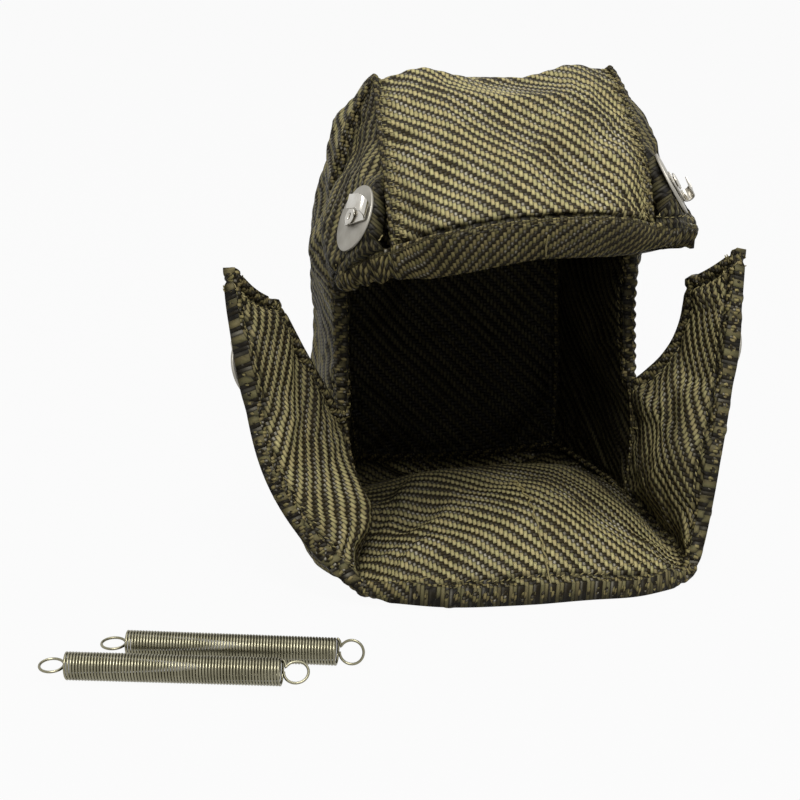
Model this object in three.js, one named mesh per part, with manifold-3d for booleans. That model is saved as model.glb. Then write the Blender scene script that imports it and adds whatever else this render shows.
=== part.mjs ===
// A fitted heat blanket for a turbocharger: nine quilted pads sewn edge to edge into an open
// clam, with riveted spring hooks and the two coil springs that close it.
// Millimetres. X to the right, Y to the back, Z up. The mouth faces -Y and the origin is on the
// flat underside, so the blanket and its springs rest on the plane Z = 0.

import * as THREE from 'three';
import { mergeVertices } from 'three/addons/utils/BufferGeometryUtils.js';
import Module from 'manifold-3d';

const wasm = await Module();
wasm.setup();

// Sewn corners of each side. The blanket is soft and stands a little lopsided, so the two sides
// differ. "half" is the distance out from the middle plane.
const leftSide = {
  name: 'left', side: -1,
  backTop: { half: 46, y: 78, z: 186 },
  backFoot: { half: 52, y: 72, z: 15 },
  crest: { half: 54, y: 2, z: 212 },
  brow: { half: 60, y: -67, z: 148 },
  cheek: { half: 78, y: -46, z: 132 },
  jambTop: { half: 74, y: -10, z: 134 },
  crotch: { half: 73, y: -10, z: 60 },
  root: { half: 64, y: -16, z: 17 },
  lipCorner: { half: 77, y: -84, z: 8 },
  wingTip: { half: 127, y: -44, z: 138 },
  wingHeel: { half: 106, y: -24, z: 121 },
  wingEdgeBow: { out: 16, y: -2, z: -10 },
  wingHeelBow: { out: 0, y: 0, z: -2 },
  wingRootFullness: 1.6,
};
const rightSide = {
  name: 'right', side: 1,
  backTop: { half: 46, y: 78, z: 186 },
  backFoot: { half: 52, y: 72, z: 15 },
  crest: { half: 52, y: 2, z: 213 },
  brow: { half: 50, y: -67, z: 153 },
  cheek: { half: 79, y: -44, z: 143 },
  jambTop: { half: 63, y: -10, z: 131 },
  crotch: { half: 64, y: -10, z: 70 },
  root: { half: 61, y: -16, z: 17 },
  lipCorner: { half: 69, y: -84, z: 5 },
  wingTip: { half: 101, y: -44, z: 139 },
  wingHeel: { half: 85, y: -22, z: 122 },
  wingEdgeBow: { out: 2, y: -2, z: -6 },
  wingHeelBow: { out: 8, y: 0, z: -6 },
  wingRootFullness: 1.4,
};

// How far the middle of each seam stands off the straight line between its corners.
const seamBow = {
  backTop: { y: 4, z: 0 },
  backSide: { out: 6, y: 8, z: 0 },
  backFoot: { y: 6, z: -5 },
  crown: { out: 3, y: 0, z: 1 },
  brow: { out: 2, y: -7, z: 3 },
  temple: { out: 9, y: -2, z: 2 },
  cheek: { out: 4, y: -2, z: 2 },
  jaw: { out: 2, y: 0, z: 0 },
  jamb: { out: -1, y: 2, z: 0 },
  gusset: { out: 2, y: -3, z: 0 },
  floor: { out: 6, y: 0, z: -3 },
  keel: { out: 6, y: 0, z: -4 },
  wingTop: { out: 0, y: 0, z: -2 },
};
const rimReach = 17;
const rimLift = 7;
const lipReach = 13;
const lipDrop = 2;

// Cloth and wadding.
const clothThickness = 0.9;
const seamThickness = 3.4;
const hemThickness = 6;
const lipThickness = 9;
const rimThickness = 14;
const padThickness = 12;
const baseThickness = 34;
const backThickness = 14;
const wingThickness = 13;
const softness = 12;
const baseSoftness = 22;
const seamGap = 0.3;
const wadGap = 0.7;
const wadMargin = 1;
const bindingThickness = 1.2;
const bindingGap = 0.9;

// How far the middle of each pad swells out of its seams.
const swell = { back: 12, top: -8, cheek: 1, side: 1, base: -8, wing: -3 };

// How far the middle of the underside sinks to the floor.
const floorSag = 5;

// Rows of quilting cells along each seam.
const cells = { across: 8, crown: 3, brow: 5, temple: 5, jamb: 3, gusset: 3, heel: 5, keel: 5 };

// Spring hooks: a plain washer, a bent strip, a hollow rivet and a backing washer.
const hardware = {
  washerRadius: 14.5, washerThickness: 1.2, washerBevel: 0.3,
  backingRadius: 8, backingThickness: 1,
  shankRadius: 2.3, boreRadius: 1.3, headRadius: 4, headThickness: 0.9,
  stripWidth: 6.6, stripThickness: 1, bendRadius: 1.9, bendReach: 10.5, tailReach: 0.5,
  heelReach: 4.6, flare: 0.8, seatGap: 0.3, boreGap: 0.3, flatMargin: 3, flatBlend: 8,
  grip: 8, headChamfer: 0.5, boreLength: 60,
};
const hookPlaces = {
  hood: { left: { across: 0.74, down: 0.36 }, right: { across: 0.74, down: 0.36 } },
  wing: { left: { across: 0.72, down: 0.24 }, right: { across: 0.64, down: 0.27 } },
};
const hookTurns = { hood: { left: -75, right: 180 }, wing: { left: 0, right: 0 } };

// Coil springs, lying on the floor beside the blanket.
const spring = {
  wire: 1.15, coilDiameter: 11.2, coilGap: 0.25, coilLength: 85, loopDiameter: 11.4,
  neckBend: 0.8, loopStart: 0.86 * Math.PI, loopSweep: 1.8 * Math.PI, turnSteps: 5, loopSteps: 14,
};
const springPlaces = [
  { name: 'front_spring', x: -163, y: -141.5, heading: -15.7, startRoll: 8, endRoll: 35 },
  { name: 'rear_spring', x: -138.5, y: -126.5, heading: -17, startRoll: 4, endRoll: 78 },
];

// Cloth and metal as they look under plain light.
const looks = {
  cover: { color: 0x6e6844, roughness: 0.75, metalness: 0 },
  liner: { color: 0x585334, roughness: 0.8, metalness: 0 },
  wadding: { color: 0xd9d5c6, roughness: 1, metalness: 0 },
  binding: { color: 0x5c5735, roughness: 0.8, metalness: 0 },
  washer: { color: 0x9c9890, roughness: 0.5, metalness: 0.8 },
  steel: { color: 0xc9c9c6, roughness: 0.2, metalness: 1 },
  spring: { color: 0x8f8b73, roughness: 0.3, metalness: 1 },
};

// How many flats stand for each round form.
const flats = { washer: 16, backing: 12, rivet: 10, bore: 12, bend: 5, wire: 4 };

// Points closer than this are one point.
const weld = 1e-4;

const blanket = new THREE.Group();

// Corners and seams.

function corner(place, side) {
  return new THREE.Vector3(side * place.half, place.y, place.z);
}

function bow(offset, side) {
  return new THREE.Vector3(side * (offset.out ?? 0), offset.y, offset.z);
}

// A seam is a row of stations along a bowed line. Each station knows the thickness of the pads
// there and how far a pad's edge stays back from the line.
function seam(from, to, offset, count, thickness, inset) {
  const control = from.clone().lerp(to, 0.5).addScaledVector(offset, 2);
  const line = new THREE.QuadraticBezierCurve3(from, control, to).getPoints(count);
  return line.map((point) => ({ point, thickness, inset }));
}

function sewn(from, to, offset, count) {
  return seam(from, to, offset, count, seamThickness, seamGap / 2);
}

function free(from, to, offset, count, thickness = hemThickness) {
  return seam(from, to, offset, count, thickness, bindingThickness + bindingGap);
}

function chain(...rows) {
  return rows.reduce((all, row) => {
    const joint = { ...all[all.length - 1] };
    joint.thickness = Math.min(joint.thickness, row[0].thickness);
    joint.inset = Math.max(joint.inset, row[0].inset);
    return [...all.slice(0, -1), joint, ...row.slice(1)];
  });
}

const reversed = (row) => [...row].reverse();

// All seams of one side.
const cornerNames = [
  'backTop', 'backFoot', 'crest', 'brow', 'cheek', 'jambTop',
  'crotch', 'root', 'lipCorner', 'wingTip', 'wingHeel',
];

function sideSeams(part) {
  const s = part.side;
  const wallCells = cells.temple + cells.jamb + cells.gusset;
  const at = Object.fromEntries(cornerNames.map((key) => [key, corner(part[key], s)]));
  return {
    at,
    backSide: sewn(at.backTop, at.backFoot, bow(seamBow.backSide, s), wallCells),
    crown: sewn(at.backTop, at.crest, bow(seamBow.crown, s), cells.crown),
    brow: sewn(at.crest, at.brow, bow(seamBow.brow, s), cells.brow),
    temple: sewn(at.crest, at.jambTop, bow(seamBow.temple, s), cells.temple),
    cheek: free(at.brow, at.cheek, bow(seamBow.cheek, s), cells.temple, rimThickness / 2),
    jaw: free(at.jambTop, at.cheek, bow(seamBow.jaw, s), cells.brow),
    jamb: free(at.jambTop, at.crotch, bow(seamBow.jamb, s), cells.jamb),
    gusset: sewn(at.crotch, at.root, bow(seamBow.gusset, s), cells.gusset),
    floor: sewn(at.backFoot, at.root, bow(seamBow.floor, s), cells.crown),
    keel: sewn(at.root, at.lipCorner, bow(seamBow.keel, s), cells.keel),
    wingHeel: free(at.wingHeel, at.crotch, bow(part.wingHeelBow, s), cells.heel),
    wingTop: free(at.wingHeel, at.wingTip, bow(seamBow.wingTop, s), cells.keel),
    wingEdge: free(at.wingTip, at.lipCorner, bow(part.wingEdgeBow, s), cells.heel + cells.gusset),
  };
}

const left = sideSeams(leftSide);
const right = sideSeams(rightSide);

// Seams that cross from side to side.
const backTopSeam = sewn(left.at.backTop, right.at.backTop, bow(seamBow.backTop, 0), cells.across);
const backFootSeam = sewn(left.at.backFoot, right.at.backFoot, bow(seamBow.backFoot, 0), cells.across);
const rimBow = new THREE.Vector3(0, -rimReach, rimLift);
const rimSeam = free(left.at.brow, right.at.brow, rimBow, cells.across, rimThickness);
const lipBow = new THREE.Vector3(0, -lipReach, -lipDrop);
const lipSeam = free(left.at.lipCorner, right.at.lipCorner, lipBow, cells.across, lipThickness);

// Shares of a pad's grid: the step that finds which way is down at a rivet, and the parts into
// which a facet is cut to find its height.
const pinchStep = 0.05;
const facetParts = 6;

// A pad is a surface stretched between four rows of stations, north to south and west to east.
class Pad {
  constructor(name, { north, south, west, east, ...shape }) {
    const { thickness, swell: rise, reach = softness, onFloor = false, southFullness = 1 } = shape;
    Object.assign(this, { name, north, south, west, east, thickness, rise, reach, onFloor, southFullness });
    this.columns = north.length - 1;
    this.rows = west.length - 1;
    this.rivets = [];
    this.stretch();
  }

  index(i, j) {
    return j * (this.columns + 1) + i;
  }

  // The pad's middle surface, blended from its four seams.
  stretch() {
    this.middle = [];
    for (let j = 0; j <= this.rows; j++) {
      for (let i = 0; i <= this.columns; i++) {
        this.middle.push(this.blend(i, j));
      }
    }
    this.normals = this.surfaceNormals();
    const centre = this.middle[this.index(this.columns >> 1, this.rows >> 1)];
    const outward = centre.clone().sub(hollowCentre);
    const facing = this.normals[this.index(this.columns >> 1, this.rows >> 1)].dot(outward);
    this.flip = facing < 0 ? -1 : 1;
    this.middle.forEach((point, k) => {
      const i = k % (this.columns + 1);
      const j = Math.floor(k / (this.columns + 1));
      const lift = this.rise * Math.sin((Math.PI * i) / this.columns) * Math.sin((Math.PI * j) / this.rows);
      point.addScaledVector(this.normals[k], this.flip * lift);
    });
    this.normals = this.surfaceNormals().map((normal) => normal.multiplyScalar(this.flip));
  }

  blend(i, j) {
    const u = i / this.columns;
    const v = j / this.rows;
    const n = this.columns;
    const m = this.rows;
    const point = new THREE.Vector3();
    point.addScaledVector(this.north[i].point, 1 - v).addScaledVector(this.south[i].point, v);
    point.addScaledVector(this.west[j].point, 1 - u).addScaledVector(this.east[j].point, u);
    point.addScaledVector(this.north[0].point, -(1 - u) * (1 - v));
    point.addScaledVector(this.north[n].point, -u * (1 - v));
    point.addScaledVector(this.west[m].point, -(1 - u) * v);
    point.addScaledVector(this.east[m].point, -u * v);
    return point;
  }

  surfaceNormals() {
    const normals = [];
    for (let j = 0; j <= this.rows; j++) {
      for (let i = 0; i <= this.columns; i++) {
        const [east, west] = [Math.min(i + 1, this.columns), Math.max(i - 1, 0)];
        const [south, north] = [Math.min(j + 1, this.rows), Math.max(j - 1, 0)];
        const along = this.middle[this.index(east, j)].clone().sub(this.middle[this.index(west, j)]);
        const down = this.middle[this.index(i, south)].clone().sub(this.middle[this.index(i, north)]);
        normals.push(along.cross(down).normalize());
      }
    }
    return normals;
  }

  edges() {
    const n = this.columns;
    const m = this.rows;
    return [
      { row: this.north, at: (k) => [k, 0], inner: (k) => [k, 1] },
      { row: this.south, at: (k) => [k, m], inner: (k) => [k, m - 1] },
      { row: this.west, at: (k) => [0, k], inner: (k) => [1, k] },
      { row: this.east, at: (k) => [n, k], inner: (k) => [n - 1, k] },
    ];
  }

  // The outer and inner faces of the quilt: thin at the seams, full in the middle.
  quilt() {
    const count = this.middle.length;
    const directors = this.normals.map((normal) => normal.clone());
    const borders = Array.from({ length: count }, () => []);
    const fullness = new Array(count).fill(1);
    for (const { row, at, inner } of this.edges()) {
      row.forEach((station, k) => {
        const here = this.index(...at(k));
        directors[here] = sharedDirector(station.point);
        const toInside = this.middle[this.index(...inner(k))].clone().sub(station.point);
        const inward = mitredInward(row.map((each) => each.point), k, toInside);
        borders[here].push({ inward, inset: station.inset });
      });
    }
    for (let k = 0; k < count; k++) {
      const i = k % (this.columns + 1);
      const j = Math.floor(k / (this.columns + 1));
      for (const { row, at } of this.edges()) {
        const step = row === this.north || row === this.south ? i : j;
        const seamPoint = this.middle[this.index(...at(step))];
        const away = this.middle[k].distanceTo(seamPoint) / this.reach;
        const slack = (1 - row[step].thickness / this.thickness) * Math.exp(-away * away);
        fullness[k] = Math.min(fullness[k], 1 - slack);
      }
    }
    this.outer = [];
    this.inner = [];
    for (let k = 0; k < count; k++) {
      const down = Math.floor(k / (this.columns + 1)) / this.rows;
      const growth = borders[k].length ? 1 : THREE.MathUtils.lerp(1, this.southFullness, down * down);
      const half = (this.thickness * fullness[k] * growth) / 2;
      const point = this.middle[k].clone().add(mitredShift(borders[k]));
      this.outer.push(point.clone().addScaledVector(directors[k], half));
      this.inner.push(point.clone().addScaledVector(directors[k], -half));
    }
    if (this.onFloor) this.settle();
    this.rivets.forEach((rivet) => this.pinch(rivet));
  }

  // The pad's own weight lays the middle of its underside on the floor.
  settle() {
    this.outer.forEach((point, k) => {
      const i = k % (this.columns + 1);
      const j = Math.floor(k / (this.columns + 1));
      point.z -= floorSag * Math.sin((Math.PI * i) / this.columns) * Math.sin((Math.PI * j) / this.rows);
    });
  }

  // A value of the pad's grid between its stations.
  between(values, across, down) {
    const x = across * this.columns;
    const y = down * this.rows;
    const [i, j] = [Math.min(Math.floor(x), this.columns - 1), Math.min(Math.floor(y), this.rows - 1)];
    const north = values[this.index(i, j)].clone().lerp(values[this.index(i + 1, j)], x - i);
    const south = values[this.index(i, j + 1)].clone().lerp(values[this.index(i + 1, j + 1)], x - i);
    return north.lerp(south, y - j);
  }

  onBorder(k) {
    const i = k % (this.columns + 1);
    const j = Math.floor(k / (this.columns + 1));
    return i === 0 || j === 0 || i === this.columns || j === this.rows;
  }

  // A rivet pulls the quilt flat and thin under its washer.
  pinch(rivet) {
    const { across, down } = rivet.place;
    rivet.normal = this.between(this.normals, across, down).normalize();
    rivet.centre = this.between(this.middle, across, down);
    const before = this.between(this.middle, across, down - pinchStep);
    rivet.down = this.between(this.middle, across, down + pinchStep).sub(before);
    rivet.down.addScaledVector(rivet.normal, -rivet.down.dot(rivet.normal)).normalize();
    const flat = hardware.washerRadius + hardware.flatMargin;
    for (const [sheet, sign] of [[this.outer, 1], [this.inner, -1]]) {
      sheet.forEach((point, k) => {
        if (this.onBorder(k)) return;
        const reach = point.clone().sub(rivet.centre);
        const height = reach.dot(rivet.normal);
        const radius = Math.sqrt(Math.max(reach.lengthSq() - height * height, 0));
        const weight = 1 - THREE.MathUtils.smoothstep(radius, flat, flat + hardware.flatBlend);
        point.addScaledVector(rivet.normal, weight * ((sign * hardware.grip) / 2 - height));
      });
    }
    rivet.outerSeat = this.seat(rivet, this.outer, 1, hardware.washerRadius);
    const underCover = this.layer(clothThickness, true);
    rivet.innerSeat = this.seat(rivet, underCover, -1, hardware.backingRadius);
  }

  // The height of the cloth under a washer, measured along the rivet from its centre: the
  // highest point of it for a washer outside, the lowest for one behind the cover.
  seat(rivet, sheet, sign, radius) {
    let highest = -Infinity;
    this.eachTriangle((a, b, c) => {
      for (let p = 0; p <= facetParts; p++) {
        for (let q = 0; q <= facetParts - p; q++) {
          const point = new THREE.Vector3()
            .addScaledVector(sheet[a], p / facetParts)
            .addScaledVector(sheet[b], q / facetParts)
            .addScaledVector(sheet[c], (facetParts - p - q) / facetParts);
          const reach = point.sub(rivet.centre);
          const height = reach.dot(rivet.normal);
          const away = Math.sqrt(Math.max(reach.lengthSq() - height * height, 0));
          if (away < radius + 1) highest = Math.max(highest, sign * height);
        }
      }
    });
    return highest;
  }

  eachTriangle(visit) {
    for (let j = 0; j < this.rows; j++) {
      for (let i = 0; i < this.columns; i++) {
        const [a, b] = [this.index(i, j), this.index(i + 1, j)];
        const [c, d] = [this.index(i, j + 1), this.index(i + 1, j + 1)];
        visit(a, b, d);
        visit(a, d, c);
      }
    }
  }

  // A sheet that lies a given depth under the outer face, or above the inner one.
  layer(depth, fromOuter, margin = 0) {
    const near = fromOuter ? this.outer : this.inner;
    const far = fromOuter ? this.inner : this.outer;
    const sheet = near.map((point, k) => {
      const across = far[k].clone().sub(point);
      const moved = point.clone().addScaledVector(across, depth / across.length());
      if (this.onFloor && fromOuter) moved.z = Math.max(moved.z, depth);
      return moved;
    });
    return margin > 0 ? this.drawnIn(sheet, margin) : sheet;
  }

  // The same sheet with its edges drawn back along its own facets.
  drawnIn(sheet, margin) {
    const clampCell = (value, last) => Math.min(Math.max(value, 0), last);
    return sheet.map((point, k) => {
      const i = k % (this.columns + 1);
      const j = Math.floor(k / (this.columns + 1));
      const side = i === 0 ? 1 : i === this.columns ? -1 : 0;
      const level = j === 0 ? 1 : j === this.rows ? -1 : 0;
      const inI = clampCell(i + side, this.columns);
      const inJ = clampCell(j + level, this.rows);
      const toward = (target) => {
        const step = sheet[target].clone().sub(point);
        return step.multiplyScalar(Math.min(margin / step.length(), 1));
      };
      const moved = point.clone();
      if (side && side === level) {
        return moved.add(toward(this.index(inI, inJ)).multiplyScalar(Math.SQRT2));
      }
      if (side) moved.add(toward(this.index(inI, j)));
      if (level) moved.add(toward(this.index(i, inJ)));
      return moved;
    });
  }

  // One closed body between two sheets of the same grid.
  solid(upper, lower) {
    const count = upper.length;
    const positions = [...upper, ...lower].flatMap((point) => point.toArray());
    const faces = [];
    this.eachTriangle((a, b, c) => {
      faces.push(a, b, c);
      faces.push(a + count, c + count, b + count);
    });
    const rim = [];
    for (let i = 0; i < this.columns; i++) rim.push([this.index(i + 1, 0), this.index(i, 0)]);
    for (let j = 0; j < this.rows; j++) rim.push([this.index(0, j), this.index(0, j + 1)]);
    for (let i = 0; i < this.columns; i++) {
      rim.push([this.index(i, this.rows), this.index(i + 1, this.rows)]);
    }
    for (let j = 0; j < this.rows; j++) {
      rim.push([this.index(this.columns, j + 1), this.index(this.columns, j)]);
    }
    for (const [a, b] of rim) faces.push(a, b, b + count, a, b + count, a + count);
    return outwardGeometry(positions, faces);
  }
}

// The inward step of one unit from a bent line: square to both stretches that meet at point k.
function mitredInward(points, k, toInside) {
  const ends = [[k - 1, k], [k, k + 1]].filter(([a, b]) => a >= 0 && b < points.length);
  const sides = ends.map(([a, b]) => {
    const lean = sharedDirector(points[a]).add(sharedDirector(points[b])).normalize();
    const side = points[b].clone().sub(points[a]).cross(lean).normalize();
    return side.dot(toInside) < 0 ? side.negate() : side;
  });
  const [first, second] = [sides[0], sides[sides.length - 1]];
  return first.clone().add(second).divideScalar(1 + first.dot(second));
}

// The step that stands back from one border, or from both borders at a corner.
const sharpest = 0.2;

function mitredShift(borders) {
  const shift = new THREE.Vector3();
  if (borders.length < 2) {
    borders.forEach(({ inward, inset }) => shift.addScaledVector(inward, inset));
    return shift;
  }
  const [first, second] = borders;
  const shared = first.inward.dot(second.inward);
  const spread = Math.max(1 - shared * shared, sharpest);
  shift.addScaledVector(first.inward, (first.inset - second.inset * shared) / spread);
  return shift.addScaledVector(second.inward, (second.inset - first.inset * shared) / spread);
}

// Meshes and booleans.

function signedVolume(positions, faces) {
  const at = (k) => new THREE.Vector3().fromArray(positions, 3 * k);
  let volume = 0;
  for (let f = 0; f < faces.length; f += 3) {
    volume += at(faces[f]).dot(at(faces[f + 1]).cross(at(faces[f + 2])));
  }
  return volume;
}

function outwardGeometry(positions, faces) {
  const geometry = new THREE.BufferGeometry();
  const ordered = signedVolume(positions, faces) < 0 ? [...faces].reverse() : faces;
  geometry.setAttribute('position', new THREE.Float32BufferAttribute(positions, 3));
  geometry.setIndex(ordered);
  return geometry;
}

function toManifold(geometry) {
  const bare = geometry.clone();
  bare.deleteAttribute('normal');
  bare.deleteAttribute('uv');
  const merged = mergeVertices(bare, weld);
  return new wasm.Manifold(new wasm.Mesh({
    numProp: 3,
    vertProperties: new Float32Array(merged.attributes.position.array),
    triVerts: new Uint32Array(merged.index.array),
  }));
}

function toGeometry(solid) {
  const mesh = solid.getMesh();
  const geometry = new THREE.BufferGeometry();
  geometry.setAttribute('position', new THREE.Float32BufferAttribute(mesh.vertProperties, 3));
  geometry.setIndex(Array.from(mesh.triVerts));
  return geometry;
}

function addPiece(name, geometry, look) {
  const mesh = new THREE.Mesh(geometry, new THREE.MeshStandardMaterial(look));
  mesh.name = name;
  blanket.add(mesh);
  return mesh;
}

// Pads that meet at a seam lean the same way there, so their cut edges stay parallel.
const hollowCentre = new THREE.Vector3(0, -10, 100);
const stationKey = (point) => point.toArray().map((value) => value.toFixed(3)).join(' ');
const leanings = new Map();

function gatherDirectors(pads) {
  for (const pad of pads) {
    for (const { row, at } of pad.edges()) {
      row.forEach((station, k) => {
        const key = stationKey(station.point);
        const leaning = leanings.get(key) ?? { sum: new THREE.Vector3(), seen: new Set() };
        if (!leaning.seen.has(pad.name)) leaning.sum.add(pad.normals[pad.index(...at(k))]);
        leaning.seen.add(pad.name);
        leanings.set(key, leaning);
      });
    }
  }
}

function sharedDirector(point) {
  return leanings.get(stationKey(point)).sum.clone().normalize();
}

// The nine pads.

function sidePads(part, seams) {
  const cheek = new Pad(`${part.name}_cheek`, {
    north: seams.brow, south: seams.jaw, west: seams.temple, east: seams.cheek,
    thickness: padThickness, swell: swell.cheek,
  });
  const wall = new Pad(`${part.name}_wall`, {
    north: seams.crown, south: seams.floor, west: seams.backSide,
    east: chain(seams.temple, seams.jamb, seams.gusset),
    thickness: padThickness, swell: swell.side,
  });
  const wing = new Pad(`${part.name}_wing`, {
    north: seams.wingTop, south: seams.keel,
    west: chain(seams.wingHeel, seams.gusset), east: seams.wingEdge,
    thickness: wingThickness, swell: swell.wing, southFullness: part.wingRootFullness,
  });
  for (const [pad, kind] of [[cheek, 'hood'], [wing, 'wing']]) {
    pad.rivets.push({
      name: `${part.name}_${kind}`, place: hookPlaces[kind][part.name], turn: hookTurns[kind][part.name],
    });
  }
  return [cheek, wall, wing];
}

const backPad = new Pad('back', {
  north: backTopSeam, south: backFootSeam, west: left.backSide, east: right.backSide,
  thickness: backThickness, swell: swell.back,
});
const topPad = new Pad('top', {
  north: backTopSeam, south: rimSeam,
  west: chain(left.crown, left.brow), east: chain(right.crown, right.brow),
  thickness: padThickness, swell: swell.top,
});
const basePad = new Pad('base', {
  north: backFootSeam, south: lipSeam,
  west: chain(left.floor, left.keel), east: chain(right.floor, right.keel),
  thickness: baseThickness, swell: swell.base, reach: baseSoftness, onFloor: true,
});
const leftPads = sidePads(leftSide, left);
const rightPads = sidePads(rightSide, right);
const pads = [backPad, topPad, basePad, ...leftPads, ...rightPads];
gatherDirectors(pads);

function cutForRivets(geometry, rivets, radius) {
  return rivets.reduce((cut, rivet) => {
    const bore = new THREE.CylinderGeometry(radius, radius, hardware.boreLength, flats.bore);
    const turn = new THREE.Quaternion().setFromUnitVectors(new THREE.Vector3(0, 1, 0), rivet.normal);
    bore.applyQuaternion(turn).translate(...rivet.centre.toArray());
    return toGeometry(toManifold(cut).subtract(toManifold(bore)));
  }, geometry);
}

for (const pad of pads) {
  pad.quilt();
  const cover = pad.solid(pad.layer(0, true), pad.layer(clothThickness, true));
  const deep = clothThickness + wadGap;
  const wadding = pad.solid(pad.layer(deep, true, wadMargin), pad.layer(deep, false, wadMargin));
  const liner = pad.solid(pad.layer(clothThickness, false), pad.layer(0, false));
  const shankBore = hardware.shankRadius + hardware.boreGap;
  const backingPocket = hardware.backingRadius + hardware.boreGap;
  addPiece(`${pad.name}_cover`, cutForRivets(cover, pad.rivets, shankBore), looks.cover);
  addPiece(`${pad.name}_wadding`, cutForRivets(wadding, pad.rivets, backingPocket), looks.wadding);
  addPiece(`${pad.name}_liner`, liner, looks.liner);
}

// Edge bindings close the quilt along its free edges.

// A trimmed end stops short of the binding that it meets.
function binding(name, stations, inside, { trimStart = 0, trimEnd = 0 } = {}) {
  const points = stations.map((station) => station.point);
  const ends = points.map((point) => point.clone());
  const last = points.length - 1;
  ends[0].lerp(points[1], trimStart / points[0].distanceTo(points[1]));
  ends[last].lerp(points[last - 1], trimEnd / points[last].distanceTo(points[last - 1]));
  const inwards = points.slice(1).map((point, k) => {
    const lean = sharedDirector(points[k]).add(sharedDirector(point)).normalize();
    const inward = point.clone().sub(points[k]).cross(lean).normalize();
    const middle = point.clone().lerp(points[k], 0.5);
    return inward.dot(inside.clone().sub(middle)) < 0 ? inward.negate() : inward;
  });
  const rings = stations.map((station, k) => {
    const before = inwards[Math.max(k - 1, 0)];
    const after = inwards[Math.min(k, inwards.length - 1)];
    const mitre = before.clone().add(after).divideScalar(1 + before.dot(after));
    const up = sharedDirector(station.point).multiplyScalar(station.thickness / 2);
    const back = ends[k].clone().addScaledVector(mitre, bindingThickness);
    return [ends[k].clone().add(up), back.clone().add(up), back.clone().sub(up), ends[k].clone().sub(up)];
  });
  const corners = 4;
  const positions = rings.flat().flatMap((point) => [point.x, point.y, Math.max(point.z, 0)]);
  const faces = [0, 1, 2, 0, 2, 3];
  const cap = corners * last;
  for (let k = 0; k < last; k++) {
    for (let c = 0; c < corners; c++) {
      const a = corners * k + c;
      const b = corners * k + ((c + 1) % corners);
      faces.push(a, a + corners, b + corners, a, b + corners, b);
    }
  }
  faces.push(cap, cap + 2, cap + 1, cap, cap + 3, cap + 2);
  addPiece(name, outwardGeometry(positions, faces), looks.binding);
}

const padMiddle = (pad) => pad.middle[pad.index(pad.columns >> 1, pad.rows >> 1)];
const crownMiddle = left.at.crest.clone().lerp(right.at.crest, 0.5);
const bindingTrim = bindingThickness + 5 * seamGap;
const bothEnds = { trimStart: bindingTrim, trimEnd: bindingTrim };
const sides = [[leftSide, left, leftPads], [rightSide, right, rightPads]];
binding('hood_rim_binding', chain(reversed(left.cheek), rimSeam, right.cheek), crownMiddle);
binding('lip_binding', chain(left.wingEdge, lipSeam, reversed(right.wingEdge)), hollowCentre);
for (const [part, seams, [cheek, wall, wing]] of sides) {
  binding(`${part.name}_jaw_binding`, reversed(seams.jaw), padMiddle(cheek), bothEnds);
  binding(`${part.name}_jamb_binding`, seams.jamb, padMiddle(wall));
  const wingPath = chain(reversed(seams.wingTop), seams.wingHeel);
  binding(`${part.name}_wing_binding`, wingPath, padMiddle(wing), { trimStart: bindingTrim });
}

// Spring hooks.

function ringProfile(inner, outer, low, high, bevel) {
  return [
    [inner, low], [outer, low], [outer, high - bevel], [outer - bevel, high], [inner, high], [inner, low],
  ].map(([r, z]) => new THREE.Vector2(r, z));
}

// A turned piece whose axis is +Z.
function turned(profile, sides) {
  const geometry = new THREE.LatheGeometry(profile, sides).rotateX(Math.PI / 2);
  return toGeometry(toManifold(orientedByVolume(geometry)));
}

function orientedByVolume(geometry) {
  const bare = geometry.clone();
  bare.deleteAttribute('normal');
  bare.deleteAttribute('uv');
  const merged = mergeVertices(bare, weld);
  return outwardGeometry(Array.from(merged.attributes.position.array), Array.from(merged.index.array));
}

// The bent strip: its foot lies on the washer, and its tail comes back over the bend.
function hookStrip() {
  const { stripThickness: t, bendRadius: r, bendReach, tailReach, heelReach, flare, stripWidth } = hardware;
  const outline = new THREE.Shape();
  const topInner = t + 2 * r;
  outline.moveTo(-heelReach, 0);
  outline.lineTo(bendReach, 0);
  outline.absarc(bendReach, t + r, t + r, -Math.PI / 2, Math.PI / 2, false);
  outline.lineTo(tailReach, topInner + t + flare);
  outline.lineTo(tailReach, topInner + flare);
  outline.lineTo(bendReach, topInner);
  outline.absarc(bendReach, t + r, r, Math.PI / 2, -Math.PI / 2, true);
  outline.lineTo(-heelReach, t);
  outline.closePath();
  const strip = new THREE.ExtrudeGeometry(outline, {
    depth: stripWidth, bevelEnabled: false, curveSegments: flats.bend,
  });
  strip.translate(0, 0, -stripWidth / 2).rotateX(Math.PI / 2);
  const boreRadius = hardware.shankRadius + hardware.boreGap;
  const bore = new THREE.CylinderGeometry(boreRadius, boreRadius, 3 * t, flats.bore);
  bore.rotateX(Math.PI / 2).translate(0, 0, t / 2);
  return toGeometry(toManifold(orientedByVolume(strip)).subtract(toManifold(bore)));
}

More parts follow.
